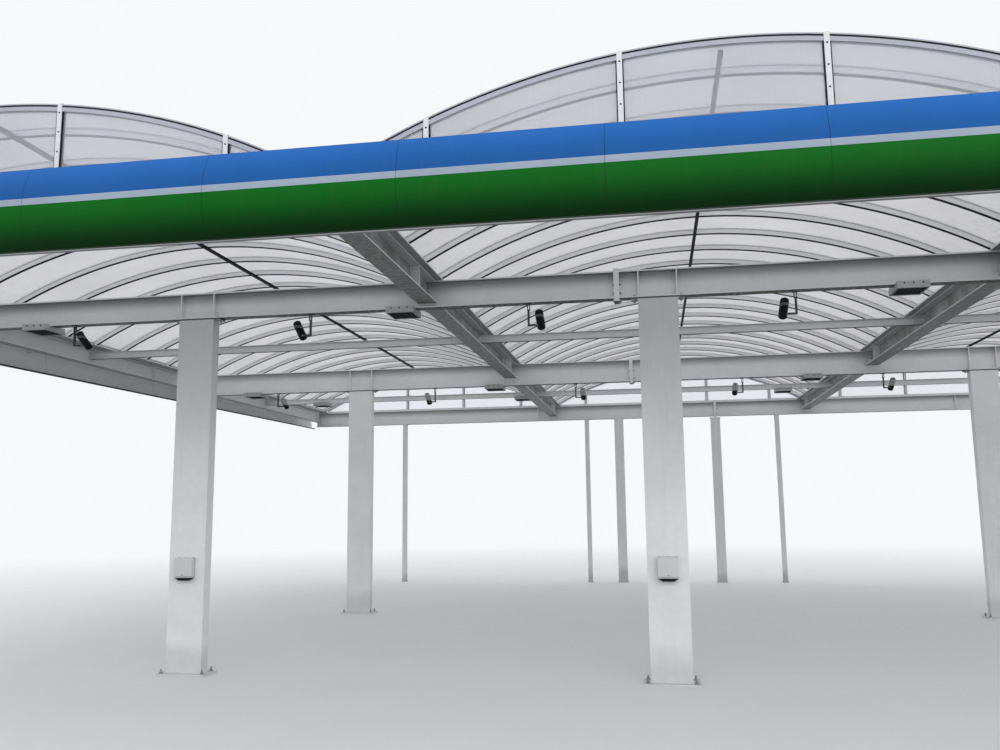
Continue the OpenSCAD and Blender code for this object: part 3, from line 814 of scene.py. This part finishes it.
def vault_strip(r0, r1, half_width, x, y, angle=HALF_ANGLE):
    """A strip over the vault at x, centred on y."""
    points, faces = arc(r0, r1, half_width, np.linspace(-angle, angle, ARC_STEPS))
    return points + (x, y, AXIS_Z), faces


print("a strip has", 4 * ARC_STEPS, "points")

# %% [markdown]
# To stand a shape somewhere means to turn its own +Z to a direction there. Placed copies are
# kept in a list, and joined into one object that rides on the canopy and takes one finish.
# One object for all the bolts of a kind keeps the scene small.

# %% Placing and joining
UP, DOWN, LEFT, RIGHT, FRONT = (0, 0, 1), (0, 0, -1), (-1, 0, 0), (1, 0, 0), (0, -1, 0)


def towards(direction, place, spin=0.0):
    """The matrix that turns +Z to a direction and moves the origin to a place."""
    turn = Vector(direction).to_track_quat("Z", "Y").to_matrix().to_4x4()
    return Matrix.Translation(place) @ turn @ Matrix.Rotation(spin, 4, "Z")


def stood(shape, direction, place, spin=0.0):
    """A copy of a shape, standing in a direction at a place."""
    points, faces = shape
    matrix = np.array(towards(direction, place, spin))
    return points @ matrix[:3, :3].T + matrix[:3, 3], faces


def new_object(name, shape, material):
    """An object in the scene, with one material."""
    mesh = bpy.data.meshes.new(name)
    mesh.from_pydata(shape[0].tolist(), [], shape[1])
    mesh.materials.append(material)
    return into_scene(name, mesh)


def add_piece(name, slot, shapes, sharp_above=40):
    """Join shapes into one piece, smooth except at edges sharper than an angle."""
    shape = together(*shapes)
    piece = new_object(name, shape, MATERIALS[slot])
    piece.data.polygons.foreach_set("use_smooth", [True] * len(piece.data.polygons))
    piece.data.set_sharp_from_angle(angle=math.radians(sharp_above))
    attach(piece, "root")
    print(name, "has", triangles(shape), "triangles")


print("named directions:", len((UP, DOWN, LEFT, RIGHT, FRONT)))

# %% [markdown]
# Some nodes hold several separate solids, such as the twelve light housings. Points that
# share an edge belong together, so joining points edge by edge sorts them into groups, and
# each group has its own box.

# %% Boxes of the solids in a node


def solids_of(name):
    """The boxes of the separate solids in a node, as pairs of corners, from left to right."""
    mesh = nodes[name].data
    first_at = {}
    parent = [
        first_at.setdefault(tuple(round(c, 5) for c in vertex.co), vertex.index)
        for vertex in mesh.vertices
    ]

    def root(k):
        while parent[k] != k:
            parent[k] = parent[parent[k]]
            k = parent[k]
        return k

    for a, b in (edge.vertices for edge in mesh.edges):
        parent[root(a)] = root(b)
    groups = {}
    for vertex in mesh.vertices:
        groups.setdefault(root(vertex.index), []).append(vertex.co)
    boxes = [
        (Vector([min(c) for c in zip(*points)]), Vector([max(c) for c in zip(*points)]))
        for points in groups.values()
    ]
    return sorted(boxes, key=lambda box: tuple(round(c, 3) for c in (box[0].y, box[0].x)))


lamp_boxes = solids_of("downlight_housings")
print("light housings:", len(lamp_boxes))

# %% [markdown]
# A structural bolt shows a hexagon head on a washer on one side of the joint, and on the
# other side a nut on a washer with the thread standing proud of it. The corners of a real
# head are turned off at an angle, which a second, smaller ring of points gives.

# %% Bolts, nuts and screws


def bolt_head(size):
    """Head and washer of a bolt with a shank of this size, standing on Z 0."""
    low, top = size * 0.16, size * 0.8
    washer = lathe([(size, 0), (size, low)], 16)
    head = lathe([(size * 0.92, low), (size * 0.92, top - size * 0.1), (size * 0.78, top)], 6)
    return together(washer, head)


def nut_end(size, proud=0.9):
    """Washer, nut and the threaded end of a bolt."""
    low, top, chamfer = size * 0.16, size * 0.98, size * 0.1
    end = top + size * proud
    washer = lathe([(size, 0), (size, low)], 16)
    nut = lathe([
        (size * 0.78, low), (size * 0.92, low + chamfer),
        (size * 0.92, top - chamfer), (size * 0.78, top),
    ], 6)
    thread = lathe([(size * 0.5, top), (size * 0.5, end - chamfer), (size * 0.4, end)], 12)
    return together(washer, nut, thread)


def screw_head(radius):
    """Low round head on a rubber-backed washer."""
    washer = lathe([(radius * 1.6, 0), (radius * 1.45, radius * 0.3)], 10)
    dome = lathe(
        [(radius, radius * 0.3), (radius * 0.9, radius * 0.75), (radius * 0.5, radius * 1.05)], 8
    )
    return together(washer, dome)


print("a bolt head has", triangles(bolt_head(0.024)), "triangles")

# %% [markdown]
# The long beams come in two lengths. Thick plates on their ends are bolted together, with
# bolts beyond the lower flange and beside the web. A post stands right under the rear
# joint, so that one has no lowest row.

# %% Splice bolts
SPLICE_T, SPLICE_UNDER, SPLICE_BOLT, SPLICE_ROW, SPLICE_SIDE = 0.040, 0.045, 0.018, 0.08, 0.065
bolts = []
for beam in ("front_main_beam_left", "back_main_beam_left", "rear_edge_beam_left"):
    low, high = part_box(beam)
    foot = low.z + SPLICE_UNDER
    heights = [foot + SPLICE_ROW, (foot + DECK_Z) / 2, DECK_Z - SPLICE_ROW]
    if "main" in beam:
        heights.append(foot - SPLICE_UNDER / 2)
    for z, side in each_of(heights, (-SPLICE_SIDE, SPLICE_SIDE)):
        y = middle(beam).y + side
        bolts.append(stood(bolt_head(SPLICE_BOLT), LEFT, (high.x - SPLICE_T, y, z)))
        bolts.append(stood(nut_end(SPLICE_BOLT), RIGHT, (high.x + SPLICE_T, y, z)))
add_piece("splice_bolts", "bolt_zinc", bolts)

# %% [markdown]
# Each column ends in a cap plate that sticks out past the column on both sides. Two bolts
# at each end hold it to the beam's lower flange, with their nuts underneath.

# %% Column head bolts
COLUMN_W, COLUMN_D, CAP_LENGTH, CAP_T = 0.58, 0.21, 0.78, 0.025
HEAD_BOLT, HEAD_PROUD, HEAD_SIDE = 0.020, 0.5, 0.06
ROWS = list(zip(ROW_Y, ROW_Z))
bolts = []
reach = (COLUMN_W + CAP_LENGTH) / 4
for (y, z), x, dx, dy in each_of(ROWS, COLUMN_X, (-reach, reach), (-HEAD_SIDE, HEAD_SIDE)):
    nut = nut_end(HEAD_BOLT, HEAD_PROUD)
    bolts.append(stood(nut, DOWN, (x + dx, y + dy, z - CAP_T), 0.3))
    bolts.append(stood(bolt_head(HEAD_BOLT), UP, (x + dx, y + dy, z + FLANGE), 0.1))
add_piece("column_head_bolts", "bolt_zinc", bolts)

# %% [markdown]
# At the foot, four anchor bolts rise out of the foundation through the foot plate. Their
# threads stand longer than on other bolts, because the nuts level the column. The record's
# bolt patterns give the places.

# %% Anchor bolts
FOOT_T, ANCHOR_BOLT, ANCHOR_PROUD = 0.03, 0.027, 1.4
bolts = []
patterns = [mount for mount in frame["record"]["mounts"] if mount["kind"] == "bolt_pattern"]
for mount, sx, sy in each_of(patterns, (-1, 1), (-1, 1)):
    x = mount["pos_m"][0] + sx * mount["dims"]["spacing_x_mm"] / 2000
    y = mount["pos_m"][1] + sy * mount["dims"]["spacing_y_mm"] / 2000
    anchor = nut_end(ANCHOR_BOLT, ANCHOR_PROUD)
    bolts.append(stood(anchor, UP, (x, y, FOOT_T), 0.2 * sx + 0.1 * sy))
add_piece("anchor_bolts", "bolt_zinc", bolts)

# %% [markdown]
# Box columns are welded to their plates. A weld is a slanted bead in the corner, so each one
# is a three-sided bar: two long beads and two short ones at the foot and at the cap.

# %% Weld beads on the columns
BEAD = 0.011


def bead(start, end, away, up):
    """A three-sided bead from start to end, in the corner between two directions."""
    start, end, away, up = (Vector(v) for v in (start, end, away, up))
    if (end - start).cross(away).dot(up) < 0:
        start, end = end, start
    corners = [Vector((0, 0, 0)), away * BEAD, up * BEAD]
    return wrap(np.array([list(at + corner) for at in (start, end) for corner in corners]), 3)


beads = []
for (y, top), x in each_of(ROWS, COLUMN_X):
    x0, x1, y0, y1 = x - COLUMN_W / 2, x + COLUMN_W / 2, y - COLUMN_D / 2, y + COLUMN_D / 2
    for z, up in ((FOOT_T, UP), (top - CAP_T, DOWN)):
        beads.append(bead((x0, y0, z), (x0, y1, z), LEFT, up))
        beads.append(bead((x1, y0, z), (x1, y1, z), RIGHT, up))
    beads.append(bead((x0, y0, FOOT_T), (x1, y0, FOOT_T), FRONT, UP))
    beads.append(bead((x0, y1, FOOT_T), (x1, y1, FOOT_T), (0, 1, 0), UP))
add_piece("column_weld_beads", "column_steel", beads, sharp_above=20)

# %% [markdown]
# The valley and edge beams end in narrow plates on the webs of the cross beams. Their bolts
# go through plate and web, and show as two columns of heads beside the beam's own web.

# %% Bolts of the valley and edge beams
WEB_T, END_PLATE_T, JOINT_BOLT, JOINT_PROUD, JOINT_REACH = 0.012, 0.014, 0.012, 0.5, 0.024
JOINT_ROWS = (0.09, 0.17, 0.25)
bolts = []
ends = {-1: bolt_head(JOINT_BOLT), 1: nut_end(JOINT_BOLT, JOINT_PROUD)}
for web_y, way in each_of(CROSS_Y, ends):
    if (web_y, way) in ((GABLE_Y, -1), (REAR_Y, 1)):
        continue
    face_y = web_y + way * (WEB_T / 2 + END_PLATE_T)
    for x, drop, dx in each_of(LINE_X, JOINT_ROWS, (-JOINT_REACH, JOINT_REACH)):
        bolts.append(stood(ends[way], (0, way, 0), (x + dx, face_y, DECK_Z - drop)))
add_piece("beam_joint_bolts", "bolt_zinc", bolts)

# %% [markdown]
# Two bolts go through the lower flange of each valley beam just behind the cross beam. From
# below only their dark ends show.

# %% Bolts in the valley flanges
FLANGE_BOLT, FLANGE_PROUD, FLANGE_BOLT_X, FLANGE_BOLT_Y = 0.014, 0.6, 0.105, 0.16
nut = nut_end(FLANGE_BOLT, FLANGE_PROUD)
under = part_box("left_valley_beam")[0].z
add_piece("valley_flange_bolts", "seal_rubber", [
    stood(nut, DOWN, (x + dx, y + FLANGE_BOLT_Y, under), 0.4)
    for x, y, dx in each_of(VALLEY_X, CROSS_Y[:3], (-FLANGE_BOLT_X, FLANGE_BOLT_X))
])

# %% [markdown]
# The tie beams meet the webs with small end plates. Thin plates and four bolts at each end
# stand for that joint.

# %% Tie beam ends
TIE_PLATE_T, TIE_PLATE_REACH, TIE_PLATE_LIP = 0.010, 0.075, 0.012
TIE_BOLT, TIE_SIDE, TIE_ROW = 0.014, 0.06, 0.03
plates, bolts = [], []
tie_ends = [(x + WEB_T / 2, 1) for x in LINE_X[:-1]] + [(x - WEB_T / 2, -1) for x in LINE_X[1:]]
for name, (x, way) in each_of(("middle_tie_beams", "rear_tie_beams"), tie_ends):
    low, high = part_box(name)
    y, face_x = middle(name).y, x + way * TIE_PLATE_T
    corner = (min(x, face_x), y - TIE_PLATE_REACH, low.z - TIE_PLATE_LIP)
    plates.append(block(corner, (max(x, face_x), y + TIE_PLATE_REACH, high.z + TIE_PLATE_LIP)))
    for dy, z in each_of((-TIE_SIDE, TIE_SIDE), (low.z + TIE_ROW, high.z - TIE_ROW)):
        bolts.append(stood(bolt_head(TIE_BOLT), (way, 0, 0), (face_x, y + dy, z)))
add_piece("tie_end_plates", "frame_steel", plates)
add_piece("tie_end_bolts", "bolt_zinc", bolts)

# %% [markdown]
# The posts under the back edge have a cap and a foot plate each. Four small bolts hold each
# plate, near its corners.

# %% Bolts of the rear posts
POST_PLATE_T, POST_INSET, POST_BOLT, POST_PROUD = 0.015, 0.022, 0.013, 0.8
bolts = []
inset = Vector((POST_INSET, POST_INSET, POST_PLATE_T))
for low, high in solids_of("rear_posts"):
    low, high = low + inset, high - inset
    for x, y in each_of((low.x, high.x), (low.y, high.y)):
        bolts.append(stood(nut_end(POST_BOLT, POST_PROUD), UP, (x, y, low.z)))
        bolts.append(stood(bolt_head(POST_BOLT), DOWN, (x, y, high.z)))
add_piece("post_bolts", "bolt_zinc", bolts)

# %% [markdown]
# The sheets slide into rubber along both sides of every arched bar, above and below. The
# rubber is only a few millimetres wide, and draws a fine dark line beside the bar.

# %% Seals along the arched bars
SEAL_T, SEAL_HALF, INNER_T, INNER_HALF = 0.003, 0.0025, 0.0015, 0.001
seals = []
sheet_under = VAULT_R - SHEET_T
for x, y, side in each_of(VAULT_X, BAR_Y, (-1, 1)):
    inner = y + side * (BAR_W / 2 + INNER_HALF)
    outer = y + side * (BAR_W / 2 + COVER_LAP + SEAL_HALF)
    seals.append(vault_strip(sheet_under - INNER_T, sheet_under, INNER_HALF, x, inner))
    seals.append(vault_strip(VAULT_R, VAULT_R + SEAL_T, SEAL_HALF, x, outer))
add_piece("bar_seals", "seal_rubber", seals)

# %% [markdown]
# A black cap, a little wider than the bar, closes each bar along its underside. It is partly a
# rubber cap and partly painted shade, a dark strip where the underside lies in shade, and it
# draws the strong dark line under every arch.

# %% Caps under the arched bars
BAR_DEPTH, CAP_DEEP, CAP_LAP, CAP_OVER, CAP_SPAN = 0.075, 0.010, 0.001, 0.004, 0.995
bar_foot = sheet_under - BAR_DEPTH
cap_section = (bar_foot - CAP_DEEP, bar_foot + CAP_LAP, BAR_W / 2 + CAP_OVER)
add_piece("bar_caps_and_shade", "seal_rubber", [
    vault_strip(*cap_section, x, y, HALF_ANGLE * CAP_SPAN) for x, y in each_of(VAULT_X, BAR_Y)
])

# %% [markdown]
# Screws hold the cover strips down on the bars, just over half a metre apart. They stand
# square to the strip, so each one points away from the vault's axis.

# %% Screws of the arched bars
SCREWS_PER_BAR, SCREW_SPAN, COVER_SCREW = 15, HALF_ANGLE * 0.97, 0.008
screws = []
screw = screw_head(COVER_SCREW)
turns = np.linspace(-SCREW_SPAN, SCREW_SPAN, SCREWS_PER_BAR)
for x, y, turn in each_of(VAULT_X, BAR_Y, turns):
    out = Vector((math.sin(turn), 0, math.cos(turn)))
    screws.append(stood(screw, out, Vector((x, y, AXIS_Z)) + out * (VAULT_R + COVER_T)))
add_piece("bar_screws", "bolt_zinc", screws)

# %% [markdown]
# The fascia panels don't touch: a joint of a few millimetres lets them grow in the sun. A
# dark strip behind each joint closes it. It is an arc like the panels, through the top edge,
# the bottom edge and the bulge between them, and along the sides it starts higher and higher.

# %% Strips in the panel joints
PANEL_STEP, PANEL_SHIFT, BULGE = 2.1, -0.128, 0.140
FRONT_JOINTS, SIDE_JOINTS = range(-6, 6), range(1, 12)
STRIP_IN, STRIP_OUT, STRIP_HALF, STRIP_STEPS = 0.012, 0.0012, 0.0021, 15
SIDE_RISE, WEDGE_START = 0.230, 0.100
blue_box, green_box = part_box("fascia_blue_band"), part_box("fascia_green_band")
top, bottom = blue_box[1].z, green_box[0].z
half_height, mid_z = (top - bottom) / 2, (top + bottom) / 2
panel_r = (half_height ** 2 + BULGE ** 2) / (2 * BULGE)
front_axis, side_axis = green_box[0].y + panel_r, green_box[1].x - panel_r


def joint_strip(direction, x, y, climb=0.0):
    """A strip that bulges in a direction, with its axis at x and y and its foot cut off."""
    last = math.asin(half_height / panel_r)
    first = max(-last, math.asin((climb - half_height) / panel_r))
    turns = np.linspace(first, last, STRIP_STEPS)
    strip = arc(panel_r - STRIP_IN, panel_r - STRIP_OUT, STRIP_HALF, turns)
    return stood(strip, direction, (x, y, mid_z), math.pi / 2)


strips = []
for k in FRONT_JOINTS:
    strips.append(joint_strip(FRONT, PANEL_SHIFT + (k + 0.5) * PANEL_STEP, front_axis))
front_line = green_box[0].y + BULGE
side_run = green_box[1].y - front_line - WEDGE_START
for k, side in each_of(SIDE_JOINTS, (-1, 1)):
    climb = SIDE_RISE * (k * PANEL_STEP - WEDGE_START) / side_run
    y = front_line + k * PANEL_STEP
    strips.append(joint_strip((side, 0, 0), side * side_axis, y, climb))
add_piece("panel_joint_strips", "seal_rubber", strips)

# %% [markdown]
# The gable is a flat sheet in a frame. Rubber shows as a black line on both sides of each
# upright bar, inside and outside, and as a black line round the arch under its outer edge.

# %% Gable seals
UPRIGHT_STEP, UPRIGHT_W, SILL_H, ARCH_LIP = 2.03, 0.056, 0.060, 0.006
UPRIGHTS = (-1.5, -0.5, 0.5, 1.5)
SEAL_IN, SEAL_OUT, SEAL_WIDE, SEAL_LAP = 0.008, 0.028, 0.012, 0.010


def uprights():
    """The place and the top of each upright bar in the gables."""
    for y, x, k in each_of((GABLE_Y, REAR_Y), VAULT_X, UPRIGHTS):
        dx = k * UPRIGHT_STEP
        yield x + dx, y, AXIS_Z + math.sqrt((VAULT_R - ARCH_H) ** 2 - dx * dx)


seals = [
    vault_strip(VAULT_R - SEAL_WIDE, VAULT_R + ARCH_LIP, ARCH_PROUD, x, y)
    for y, x in each_of((GABLE_Y, REAR_Y), VAULT_X)
]
for (x, y, top), side, way in each_of(uprights(), (-1, 1), (-1, 1)):
    near = x + side * UPRIGHT_W / 2
    x0, x1 = sorted((near, near + side * SEAL_WIDE))
    y0, y1 = sorted((y + way * SEAL_IN, y + way * SEAL_OUT))
    seals.append(block((x0, y0, DECK_Z + SILL_H), (x1, y1, top + SEAL_LAP)))
add_piece("gable_seals", "seal_rubber", seals)

# %% [markdown]
# A row of dark screws runs up each upright bar of the gables, on the side that faces the
# front.

# %% Gable screws
UPRIGHT_FACE, GABLE_SCREW, SCREW_STEP, SCREW_LOW, SCREW_TOP = 0.036, 0.0065, 0.19, 0.1, 0.02
screws = []
screw = screw_head(GABLE_SCREW)
for x, y, top in uprights():
    first = DECK_Z + SCREW_LOW
    count = max(round((top - first) / SCREW_STEP), 2)
    for z in np.linspace(first, top - SCREW_TOP, count):
        screws.append(stood(screw, FRONT, (x, y - UPRIGHT_FACE, z)))
add_piece("gable_screws", "seal_rubber", screws)

# %% [markdown]
# Gutters are folded from long sheets that overlap. A thin second sheet and a row of rivets
# mark each lap, about every three metres.

# %% Gutter laps
LAP_W, LAP_T, LAP_STEP, LAP_CUT, GUTTER_T = 0.06, 0.002, 3.2, 0.004, 0.005
FIRST_LAP, LAST_LAP = GABLE_Y + 1.2, REAR_Y - 0.5
CURB_T, CURB_INSET, RIVET, RIVET_INSET, RIVETS = 0.006, 0.010, 0.005, 0.03, 5
valley_half = VALLEY_X[1] - (VAULT_X[1] + sheet_high.x) - CURB_T - CURB_INSET
outer_curb = VAULT_X[2] + sheet_high.x + CURB_INSET
outer_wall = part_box("edge_gutters")[1].x - CURB_INSET
spans = [(x - valley_half, x + valley_half) for x in VALLEY_X]
spans += [(outer_curb, outer_wall), (-outer_wall, -outer_curb)]
laps, rivets = [], []
rivet, foot = screw_head(RIVET), DECK_Z + GUTTER_T
for (x0, x1), y in each_of(spans, np.arange(FIRST_LAP, LAST_LAP, LAP_STEP)):
    laps.append(block((x0, y, foot), (x1, y + LAP_W, foot + LAP_T), LAP_CUT))
    for x in np.linspace(x0 + RIVET_INSET, x1 - RIVET_INSET, RIVETS):
        rivets.append(stood(rivet, UP, (x, y + LAP_W / 2, foot + LAP_T)))
add_piece("gutter_laps", "gutter", laps)
add_piece("gutter_rivets", "bolt_zinc", rivets)

# %% [markdown]
# A downlight is a flat box that hangs under the flange. A raised frame holds its glass,
# small screws hold the frame, and three dark bolts on the side that faces the front clamp
# the box to the flange.

# %% Downlight details
FRAME_LIP, FRAME_OUT, FRAME_IN, LAMP_SCREW, SCREW_INSET = 0.004, 0.010, 0.024, 0.005, 0.017
CLAMP_BOLT, CLAMP_INSET, CLAMP_DROP, CLAMPS = 0.012, 0.09, 0.03, 3
frames, screws, bolts = [], [], []
screw, bolt = screw_head(LAMP_SCREW), bolt_head(CLAMP_BOLT)
for (x0, y0, z0), (x1, y1, z1) in lamp_boxes:
    a, b, lip = FRAME_OUT, FRAME_IN, z0 - FRAME_LIP
    for low_x, low_y, high_x, high_y in (
        (x0 + a, y0 + a, x1 - a, y0 + b),
        (x0 + a, y1 - b, x1 - a, y1 - a),
        (x0 + a, y0 + b, x0 + b, y1 - b),
        (x1 - b, y0 + b, x1 - a, y1 - b),
    ):
        frames.append(block((low_x, low_y, lip), (high_x, high_y, z0)))
    rows = (y0 + SCREW_INSET, (y0 + y1) / 2, y1 - SCREW_INSET)
    for x, y in each_of((x0 + SCREW_INSET, x1 - SCREW_INSET), rows):
        screws.append(stood(screw, DOWN, (x, y, lip)))
    for x in np.linspace(x0 + CLAMP_INSET, x1 - CLAMP_INSET, CLAMPS):
        bolts.append(stood(bolt, FRONT, (x, y0, z1 - CLAMP_DROP)))
add_piece("downlight_frames", "white_housing", frames)
add_piece("downlight_screws", "bolt_zinc", screws)
add_piece("downlight_bolts", "seal_rubber", bolts)

# %% [markdown]
# A camera sits on an angle bracket, aimed down and towards the back, and every second one is
# mirrored. Its place follows from the box of its bracket. The lens is a low dome of dark
# glass in a ring, and a cable gland closes the other end.

# %% Camera details
CLAMP_HALF, CAMERA_OUT, CAMERA_BACK, CAMERA_TILT = 0.045, 0.175, 0.060, math.radians(32)
LENS_END, GLAND_END, ARM_BOLT, ARM_BOLT_X, ARM_INSET = 0.075, 0.230, 0.010, 0.13, 0.013
dome = lathe([(0.044, 0), (0.042, 0.003), (0.033, 0.007), (0.018, 0.010), (0.004, 0.011)], 32)
rim = lathe([(0.056, 0), (0.056, 0.003), (0.053, 0.005), (0.046, 0.002)], 32)
gland = together(
    lathe([(0.016, 0), (0.016, 0.012), (0.014, 0.014)], 6),
    lathe([(0.011, 0.014), (0.011, 0.020), (0.009, 0.026), (0.006, 0.030)], 20),
)
aim = Vector((0, math.cos(CAMERA_TILT), -math.sin(CAMERA_TILT)))
bolts, lenses, rings, glands = [], [], [], []
for k, (low, high) in enumerate(solids_of("camera_brackets")):
    side = 1 if k % 2 == 0 else -1
    clamp_x = low.x + CLAMP_HALF if side > 0 else high.x - CLAMP_HALF
    mid_y = (low.y + high.y) / 2
    centre = Vector((clamp_x + side * CAMERA_OUT, mid_y + CAMERA_BACK, high.z - CAMERA_DROP))
    lenses.append(stood(dome, aim, centre + aim * LENS_END))
    rings.append(stood(rim, aim, centre + aim * LENS_END))
    glands.append(stood(gland, -aim, centre - aim * GLAND_END))
    arm_end = (clamp_x + side * ARM_BOLT_X, mid_y - ARM_INSET, low.z + ARM_INSET)
    bolts.append(stood(bolt_head(ARM_BOLT), FRONT, arm_end))
add_piece("camera_bolts", "bolt_zinc", bolts)
add_piece("camera_lenses", "light_lens", lenses, sharp_above=60)
add_piece("camera_rings", "bracket_steel", rings)
add_piece("camera_glands", "seal_rubber", glands)

# %% [markdown]
# Each front column carries a moulded box for paper towels. A groove shows where the cover
# meets the back, locks sit on top and low on the front, hinges on top, and paper comes out of
# a dark mouth underneath. The mouth is a dark block whose lower corners are pulled in, and it
# also stands for the shadow under the box as a painted shadow.

# %% Towel dispenser details
SEAM_Y, SEAM_W, SEAM_FOOT, PROUD, LOCK_INSET = 0.030, 0.004, 0.002, 0.0012, 0.055
MOUTH_DEEP, MOUTH_LAP, MOUTH_INSET, MOUTH_TAPER, MOUTH_CUT = 0.034, 0.001, 0.012, 0.055, 0.012
HINGE_X, HINGE_CUT = 0.03, 0.003
HINGE_LOW, HINGE_HIGH = np.array((-0.012, -0.034, 0)), np.array((0.012, -0.020, 0.006))
seams, mouths, locks = [], [], []
lock = lathe([(0.011, 0), (0.011, 0.004), (0.009, 0.006)], 24)
for (x0, y0, z0), (x1, y1, z1) in solids_of("towel_dispensers"):
    seam_y, mid_x = y1 - SEAM_Y, (x0 + x1) / 2
    seam_low = (x0 - PROUD, seam_y - SEAM_W, z0 + SEAM_FOOT)
    seams.append(block(seam_low, (x1 + PROUD, seam_y, z1 + PROUD)))
    # The dark mouth block is partly a painted shadow under the box.
    points, faces = block((x0, y0, z0 - MOUTH_DEEP), (x1, y1, z0 + MOUTH_LAP), MOUTH_CUT)
    centre = np.array([mid_x, (y0 + y1) / 2])
    lower = points[:, 2] < z0 - MOUTH_DEEP / 2
    shrink = 1 - 2 * np.where(lower, MOUTH_INSET + MOUTH_TAPER, MOUTH_INSET) / (x1 - x0)
    points[:, :2] = centre + (points[:, :2] - centre) * shrink[:, None]
    mouths.append((points, faces))
    locks.append(stood(lock, UP, (mid_x, y1 - LOCK_INSET, z1)))
    locks.append(stood(lock, FRONT, (mid_x, y0, z0 + LOCK_INSET)))
    for x in (x0 + HINGE_X, x1 - HINGE_X):
        locks.append(block((x, y1, z1) + HINGE_LOW, (x, y1, z1) + HINGE_HIGH, HINGE_CUT))
add_piece("dispenser_seams", "seal_rubber", seams)
add_piece("dispenser_mouths_and_shadows", "seal_rubber", mouths)
add_piece("dispenser_locks", "bolt_zinc", locks)

# %% [markdown]
# The stage isn't part of the object: a wide pale floor and a pale sky. Under the real
# canopy the ground is dark, so little light comes back up and the undersides stay dark.
# The floor keeps its pale colour for the camera, for mirrors and for glass, and is darker
# only for the light that it throws back.

# %% Floor
FLOOR_SEEN, FLOOR_BOUNCE = (0.80, 0.80, 0.79, 1), (0.42, 0.42, 0.41, 1)
SKY_SEEN, SKY_LIGHT = (0.93, 0.94, 0.955, 1), (0.93, 0.96, 1.0, 1)
FLOOR_HALF, FLOOR_LOW, FLOOR_TOP, FADE_START, FADE_END = 400.0, -0.01, -0.001, 17.0, 45.0


def seen_by_eye():
    """1 for camera, mirror and glass rays."""
    path = put("LightPath").outputs
    rays = ("Is Camera Ray", "Is Glossy Ray", "Is Transmission Ray")
    return highest(*[path[ray] for ray in rays])


new_material("stage_floor")
seen = seen_by_eye()
floor_tone = ramp(noise(own_place(), 0.6, 5.0), *SPREAD, 0.985, 1.0)
floor_colour = blend_colour(seen, FLOOR_BOUNCE, tinted(FLOOR_SEEN, floor_tone))
ground = put("BsdfPrincipled", Base_Color=floor_colour, Roughness=0.85).outputs["BSDF"]
haze = put("Emission", Color=SKY_SEEN, Strength=1.0).outputs["Emission"]
far = put("VectorMath", {"operation": "LENGTH"}, s0=own_place()).outputs["Value"]
fade = product(ramp(far, FADE_START, FADE_END), seen)
finish_with(mix_shaders(fade, ground, haze))
slab = block((-FLOOR_HALF, -FLOOR_HALF, FLOOR_LOW), (FLOOR_HALF, FLOOR_HALF, FLOOR_TOP))
stage_floor = new_object("stage_floor", slab, MATERIALS["stage_floor"])

# %% [markdown]
# The sky gives most of the light, the same from every side, as on an overcast day. The eye
# and reflections see a slightly greyer one.

# %% Sky
world = bpy.data.worlds.new("stage_sky")
world.use_nodes = True
draw_in(world.node_tree)
backdrop = put("Background", Color=SKY_SEEN, Strength=1.0).outputs["Background"]
sky = put("Background", Color=SKY_LIGHT, Strength=1.0).outputs["Background"]
put("OutputWorld", Surface=mix_shaders(seen_by_eye(), sky, backdrop))
bpy.context.scene.world = world
print("sky has", len(world.node_tree.nodes), "nodes")

# %% [markdown]
# Two soft lamps help the sky. A very large disc, up and to the right in front, gives the
# fascia its even glow. A long low panel in front reaches under the fascia, where the sky
# can't, and lights the columns and the webs of the beams.

# %% Lamps and view settings


def area_lamp(name, shape, size, place, aim, power):
    data = bpy.data.lights.new(name, "AREA")
    data.shape = shape
    data.size, data.size_y = size
    data.energy = power
    into_scene(name, data).matrix_world = towards(Vector(place) - Vector(aim), place)
    print(name, "of", power, "W")


area_lamp("front_lamp", "DISK", (40.0, 40.0), (18, -60, 26), (0, 0, 5), 5000.0)
area_lamp("low_lamp", "RECTANGLE", (70.0, 2.2), (22, -46, 1.3), (0, 0, 3.0), 1600.0)
bpy.context.scene.view_settings.view_transform = "Standard"
